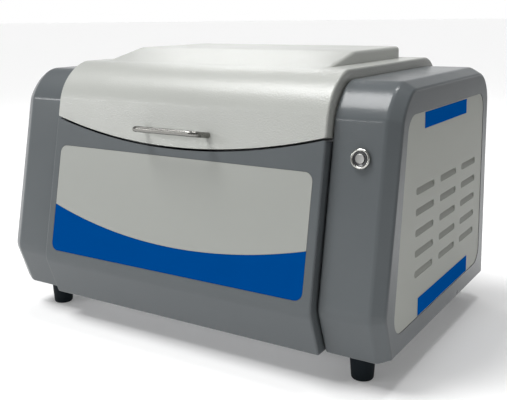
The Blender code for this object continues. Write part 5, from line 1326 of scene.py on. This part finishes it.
    def build(self) -> None:
        """Make the rear side's pieces."""
        for side, rotor_body in ((Side.LEFT, Body.FAN_LEFT), (Side.RIGHT, Body.FAN_RIGHT)):
            self.guard(side).finish(f"fan_guard_{side.word}", BRUSHED)
            self.rotor(side).finish(f"fan_rotor_{side.word}", BLACK, rotor_body)
            leaf, lid_leaf = self.hinge(side)
            leaf.finish(f"hinge_body_leaf_{side.word}", BRUSHED)
            lid_leaf.finish(f"hinge_lid_leaf_{side.word}", BRUSHED, Body.LID)
        self.top_cover().finish("rear_top_cover", REAR_PAINT)
        self.screws().finish("rear_screws", ZINC, nodes=(), crease=40.0)


@dataclass
class Connectors:
    """The mains inlet with its rocker switch, and the data port, in the rear panel."""

    panel_y: float = 0.190
    z: float = 0.080
    proud: float = 0.0035
    flange: tuple[float, float] = (0.060, 0.032)
    flange_corner: float = 0.003
    flange_edge: float = 0.0005
    flange_depth: float = 0.002
    body: tuple[float, float] = (0.052, 0.026)
    body_corner: float = 0.002
    body_depth: float = 0.028
    socket: tuple[float, float] = (0.0235, 0.0165)
    socket_corner: float = 0.004
    socket_x: float = -0.01125
    socket_depth: float = 0.016
    groove: Profile = ((0.0052, 0.0016), (0.0046, 0.0009))
    groove_depth: float = 0.0004
    pin: tuple[float, float, float] = (0.002, 0.005, 0.012)
    pin_pitch: float = 0.007
    pin_stagger: float = 0.4
    pin_edge: float = 0.0006
    rocker: tuple[float, float] = (0.0125, 0.020)
    rocker_x: float = 0.01525
    rocker_sink: float = 0.0012
    rocker_tilt: float = math.radians(7.0)
    rocker_gap: float = 0.0004
    rocker_crown: float = 0.0004
    rocker_hollow: float = 0.055
    rocker_edge: float = 0.00035
    well_corner: float = 0.0006
    well_depth: float = 0.0117
    port_x: float = 0.060
    port: tuple[float, float] = (0.018, 0.016)
    port_corner: float = 0.0015
    port_edge: float = 0.0004
    port_lip: float = 0.002
    port_depth: float = 0.014
    mouth: tuple[float, float] = (0.009, 0.008)
    mouth_corner: float = 0.0016
    mouth_depth: float = 0.009
    tongue: tuple[float, float, float] = (0.0026, 0.0016, 0.0012)
    fine_edge: float = 0.0003

    def frame(self, x: float) -> Matrix:
        """Return a frame on the rear panel at x, its Z into the machine."""
        return rear_frame(x, self.panel_y, self.z)

    @staticmethod
    def pane(size: tuple[float, float], radius: float, grow: float = 0.0) -> BMesh:
        """Return a rounded rectangle round the middle, its sides moved out by grow."""
        return rectangle((-size[0] / 2, -size[1] / 2), (size[0] / 2, size[1] / 2), radius, grow)

    def inlet(self) -> tuple[Form, Form]:
        """Make the inlet's moulding with its socket and rocker well, and its three pins."""
        outer, middle = -self.proud, self.frame(0.0)
        form = Form.plate(self.pane(self.flange, self.flange_corner), outer, -FIT, middle)
        form.soften(self.flange_edge)
        body = self.pane(self.body, self.body_corner)
        form.fuse(Form.plate(body, outer + self.flange_depth, self.body_depth, middle))
        socket, near = self.frame(self.socket_x), outer - OVERRUN
        far, core = (self.pane(self.socket, *edge) for edge in self.groove)
        groove = Form.plate(far, near, outer + self.groove_depth, socket)
        hole, well = self.pane(self.socket, self.socket_corner), self.pane(self.rocker, self.well_corner)
        form.cut(
            groove.cut(Form.plate(core, near - OVERRUN, OVERRUN, socket)),
            Form.plate(hole, near, outer + self.socket_depth, socket),
            Form.plate(well, near, outer + self.well_depth, self.frame(self.rocker_x)),
        )
        pins, (wide, high, length) = Form(), self.pin
        root = outer + self.socket_depth
        for index in (-1, 0, 1):
            x, z = index * self.pin_pitch, high * self.pin_stagger * (1 if index == 0 else -1)
            pin = Form.block(
                (x - wide / 2, z - high / 2, root - length), (x + wide / 2, z + high / 2, root + FIT), socket
            )
            pins.add(pin.soften(self.pin_edge))
        return form, pins

    def paddle(self) -> Form:
        """Make the rocker's paddle: two hollow faces that meet on a crown, round behind."""
        half, reach = (size / 2 - self.rocker_gap for size in self.rocker)
        side, deep = reach * math.cos(self.rocker_tilt), reach * math.sin(self.rocker_tilt)
        outline = Pen((side, deep)).arc((-side, deep), reach, 20)
        outline.arc((0.0, -self.rocker_crown), -self.rocker_hollow, 8).arc((side, deep), -self.rocker_hollow, 8)
        axis = self.frame(self.rocker_x) @ shift(0, 0, self.rocker_sink - self.proud)
        axis = axis @ Matrix.Rotation(self.rocker_tilt, 4, "X") @ SIDE_VIEW
        return Form.plate(outline.close(), -half, half, axis).soften(self.rocker_edge, 2)

    def data_port(self) -> tuple[Form, Form]:
        """Make the data port's steel shell and the tongue inside it."""
        place, lip = self.frame(self.port_x), self.port_lip
        shell = Form.plate(self.pane(self.port, self.port_corner), -FIT - lip, -FIT, place)
        shell.soften(self.port_edge)
        tube = self.pane(self.port, lip / 2, -lip)
        shell.fuse(Form.plate(tube, -FIT - lip / 2, self.port_depth, place))
        (wide, high), corner = (size / 2 for size in self.mouth), self.mouth_corner
        mouth = [(-wide, -high), (wide, -high), (wide, high - corner), (wide - corner, high),
                 (corner - wide, high), (-wide, high - corner)]
        shell.cut(Form.plate(polygon(mouth, self.fine_edge), -3 * lip, self.mouth_depth, place))
        wide, high, out = self.tongue
        tongue = Form.block((-wide, -high, -out), (wide, high, self.mouth_depth + FIT), place)
        return shell, tongue.soften(self.fine_edge, 2)

    def build(self) -> None:
        """Make the connectors' pieces."""
        inlet, pins = self.inlet()
        inlet.finish("mains_inlet", BLACK, crease=35.0)
        pins.finish("mains_pins", ZINC, nodes=())
        self.paddle().finish("rocker_switch", ROCKER_BLACK, Body.ROCKER, crease=35.0)
        shell, tongue = self.data_port()
        shell.finish("data_port", BRUSHED, crease=35.0)
        tongue.finish("data_port_tongue", BLACK, nodes=(), crease=35.0)


@dataclass
class SampleStage:
    """The sample stage under the lid: plate with centring rings, window ring and screws."""

    centre_y: float = 0.01533
    low: float = 0.2723
    top: float = 0.2773
    half: tuple[float, float] = (0.110, 0.085)
    corner: float = 0.012
    edge: float = 0.0007
    bore: float = 0.0275
    ledge: Profile = ((0.0195, -0.0049), (0.0273, -0.0049), (0.0273, -0.0003), (0.0195, -0.0003))
    rings: tuple[float, ...] = (0.040, 0.055, 0.070)
    groove: tuple[float, float] = (0.0004, 0.0005)
    window_ring: Profile = (
        (0.010, -0.0003), (0.0280, -0.0003), (0.0280, 0.0012), (0.0276, 0.0018), (0.0266, 0.0027),
        (0.0120, 0.0027), (0.0108, 0.0020), (0.0100, 0.0010),
    )
    ring_screws: tuple[float, float] = (0.0225, 0.0027)
    ring_screw: tuple[float, float] = (0.0016, 0.0008)
    plate_screws: tuple[float, float] = (0.100, 0.075)
    plate_screw: tuple[float, float] = (0.0028, 0.0016)

    def build(self) -> None:
        """Make the stage's pieces."""
        (wide, deep), y = self.half, self.centre_y
        outline = rectangle((-wide, y - deep), (wide, y + deep), self.corner)
        plate = Form.plate(outline, self.low, self.top, Matrix.Identity(4)).soften(self.edge)
        middle, (half, depth) = shift(0, y, self.top), self.groove
        bore = [(0.0, -10 * OVERRUN), (self.bore, -10 * OVERRUN), (self.bore, OVERRUN), (0.0, OVERRUN)]
        plate.cut(Form.turned(bore, middle, 64))
        for radius in self.rings:
            near, far = radius - half, radius + half
            groove = [(near, -depth), (far, -depth), (far, OVERRUN), (near, OVERRUN)]
            plate.cut(Form.turned(groove, middle, 96))
        plate.add(Form.turned(self.ledge, middle, 64))
        plate.finish("stage_plate", ALUMINIUM)
        Form.turned(self.window_ring, middle, 72).finish("window_ring", BRUSHED, crease=25.0)
        form, (reach, height), (across, along) = Form(), self.ring_screws, self.plate_screws
        for index in range(6):
            place = middle @ about_z(index * math.pi / 3) @ shift(reach, 0, height)
            form.add(screw(place, *self.ring_screw))
        for x in (-across, across):
            for back in (-along, along):
                form.add(screw(middle @ shift(x, back, 0), *self.plate_screw))
        form.finish("stage_screws", ZINC, nodes=(), crease=40.0)


# ---------------------------------------------------------------------------- the studio


@dataclass(frozen=True)
class View:
    """The camera at the photograph's angle."""

    place: Point = (0.56026, -0.88537, 0.40158)
    yaw: float = math.radians(32.25)
    pitch: float = math.radians(8.8)
    roll: float = math.radians(-0.57)
    lens: float = 54.95
    sensor: float = 36.0
    shift: tuple[float, float] = (0.0096, -0.129)
    clip: tuple[float, float] = (0.01, 50.0)

    def build(self) -> None:
        """Make the camera and use it."""
        ahead = Vector((
            -math.sin(self.yaw) * math.cos(self.pitch), math.cos(self.yaw) * math.cos(self.pitch),
            -math.sin(self.pitch),
        ))
        level = Vector((math.cos(self.yaw), math.sin(self.yaw), 0.0))
        upright = level.cross(ahead)
        right = math.cos(self.roll) * level + math.sin(self.roll) * upright
        up = math.cos(self.roll) * upright - math.sin(self.roll) * level
        data = bpy.data.cameras.new("view")
        data.lens, data.sensor_width = self.lens, self.sensor
        data.shift_x, data.shift_y = self.shift
        data.clip_start, data.clip_end = self.clip
        camera = bpy.data.objects.new("view", data)
        turned = Matrix((right, up, -ahead)).transposed().to_4x4()
        camera.matrix_world = Matrix.Translation(self.place) @ turned
        bpy.context.scene.collection.objects.link(camera)
        bpy.context.scene.camera = camera


@dataclass(frozen=True)
class Lamp:
    """One soft light that looks at the machine."""

    name: str
    kind: str
    place: Point
    size: float
    energy: float
    aim: Point = (0.0, 0.0, 0.18)
    height: float = 0.0

    def build(self) -> None:
        """Hang the light: its size is an angle in degrees for a sun, else its panel's width."""
        data = bpy.data.lights.new(self.name, self.kind)
        data.energy = self.energy
        if self.kind == "SUN":
            data.angle = math.radians(self.size)
        else:
            data.shape, data.size, data.size_y = "RECTANGLE", self.size, self.height or self.size
        lamp = bpy.data.objects.new(self.name, data)
        lamp.location = self.place
        way = Vector(self.aim) - Vector(self.place)
        lamp.rotation_euler = way.to_track_quat("-Z", "Y").to_euler()
        bpy.context.scene.collection.objects.link(lamp)


@dataclass
class Studio:
    """The floor, the soft lights and the surroundings."""

    floor_size: float = 60.0
    floor_shades: tuple[float, float] = (0.86, 0.14)
    floor_fade: tuple[float, float] = (0.6, 1.1)
    floor_roughness: float = 0.8
    floor_specular: float = 0.1
    floor_glow: float = 0.16
    horizon: float = 1.0
    ceiling: float = 0.18
    rise_start: float = 0.06
    rises: tuple[float, float] = (0.13, 0.45)
    turn: tuple[float, float] = (0.55, 0.8)
    back: Point = (-0.6, 0.8, 0.0)
    lamps: list[Lamp] = field(default_factory=lambda: [
        Lamp("ceiling_light", "SUN", (-0.72, -0.52, 1.9), 26.0, 2.5),
        Lamp("rear_light", "AREA", (-1.31, 1.78, 1.32), 0.8, 2.6, (0.04, -0.08, 0.34), 0.2),
        Lamp("high_rear_light", "AREA", (-1.26, 1.35, 1.88), 0.9, 5.0, (0.06, -0.11, 0.34), 0.12),
        Lamp("left_light", "AREA", (-1.9, -1.95, 0.95), 0.9, 10.0, (-0.12, -0.15, 0.29), 0.2),
        Lamp("front_light", "AREA", (-0.9, -2.37, 1.1), 0.35, 3.0, (0.23, -0.14, 0.29), 0.2),
        Lamp("right_floor_light", "AREA", (0.34, 0.2, 2.1), 0.5, 14.0, (0.45, 0.15, 0.0)),
    ])

    def build(self) -> None:
        """Set the studio up."""
        bm = bmesh.new()
        ops.create_grid(bm, x_segments=1, y_segments=1, size=self.floor_size)
        mesh = Form(bm).mesh("floor")
        mesh.materials.append(self._floor_look())
        floor = bpy.data.objects.new("floor", mesh)
        bpy.context.scene.collection.objects.link(floor)
        floor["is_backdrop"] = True
        bpy.context.scene.world = self._surroundings()
        for lamp in self.lamps:
            lamp.build()
        bpy.context.scene.view_settings.view_transform = "Standard"

    def _floor_look(self) -> bpy.types.Material:
        """Make the floor's material: pale round the machine and grey far to its right."""
        look = bpy.data.materials.new("floor")
        graph = Graph(look)
        split = graph.add("SeparateXYZ", Vector=graph.add("TexCoord").outputs["Object"])
        graph.set(
            graph.tree.nodes["Principled BSDF"],
            Base_Color=graph.between(split.outputs["X"], self.floor_fade, self.floor_shades),
            Roughness=self.floor_roughness, Specular_IOR_Level=self.floor_specular,
            Emission_Color=(1.0, 1.0, 1.0, 1.0), Emission_Strength=self.floor_glow,
        )
        return look

    def _surroundings(self) -> bpy.types.World:
        """Make the world: pale round the horizon, further up behind, and dimmer overhead."""
        world = bpy.data.worlds.new("studio")
        graph = Graph(world)
        way = graph.add("TexCoord").outputs["Generated"]
        split = graph.add("SeparateXYZ", Vector=way)
        back = graph.add("VectorMath")
        back.operation = "DOT_PRODUCT"
        back.inputs[1].default_value = self.back
        graph.tree.links.new(way, back.inputs[0])
        rise = graph.between(back.outputs["Value"], self.turn, self.rises)
        glow = graph.between(split.outputs["Z"], (self.rise_start, rise), (self.horizon, self.ceiling))
        graph.set(graph.tree.nodes["Background"], Color=(1.0, 1.0, 1.0, 1.0), Strength=glow)
        return world


def corners(box: tuple[Vector, Vector]) -> list[list[float]]:
    """Return a box's two corners as plain lists."""
    return [list(corner) for corner in box]


def main() -> None:
    """Load the solids, dress them and set the studio up."""
    logging.basicConfig(level=logging.INFO, format="%(name)s: %(message)s")
    for obj in list(bpy.data.objects):
        bpy.data.objects.remove(obj, do_unlink=True)
    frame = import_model()
    solid_box = corners(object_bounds())
    View().build()
    for look, nodes in SOLID_LOOKS.items():
        for node in nodes:
            data = frame["nodes"][node].data
            data.materials.clear()
            data.materials.append(look.make())
    for part in (
        Cheeks(), FrontCover(), Lid(), Handle(), PowerButton(), Feet(), Rear(), Connectors(), SampleStage(),
    ):
        part.build()
    Studio().build()
    {"cad": solid_box, "visual": corners(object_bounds())}


if __name__ == "__main__":
    main()
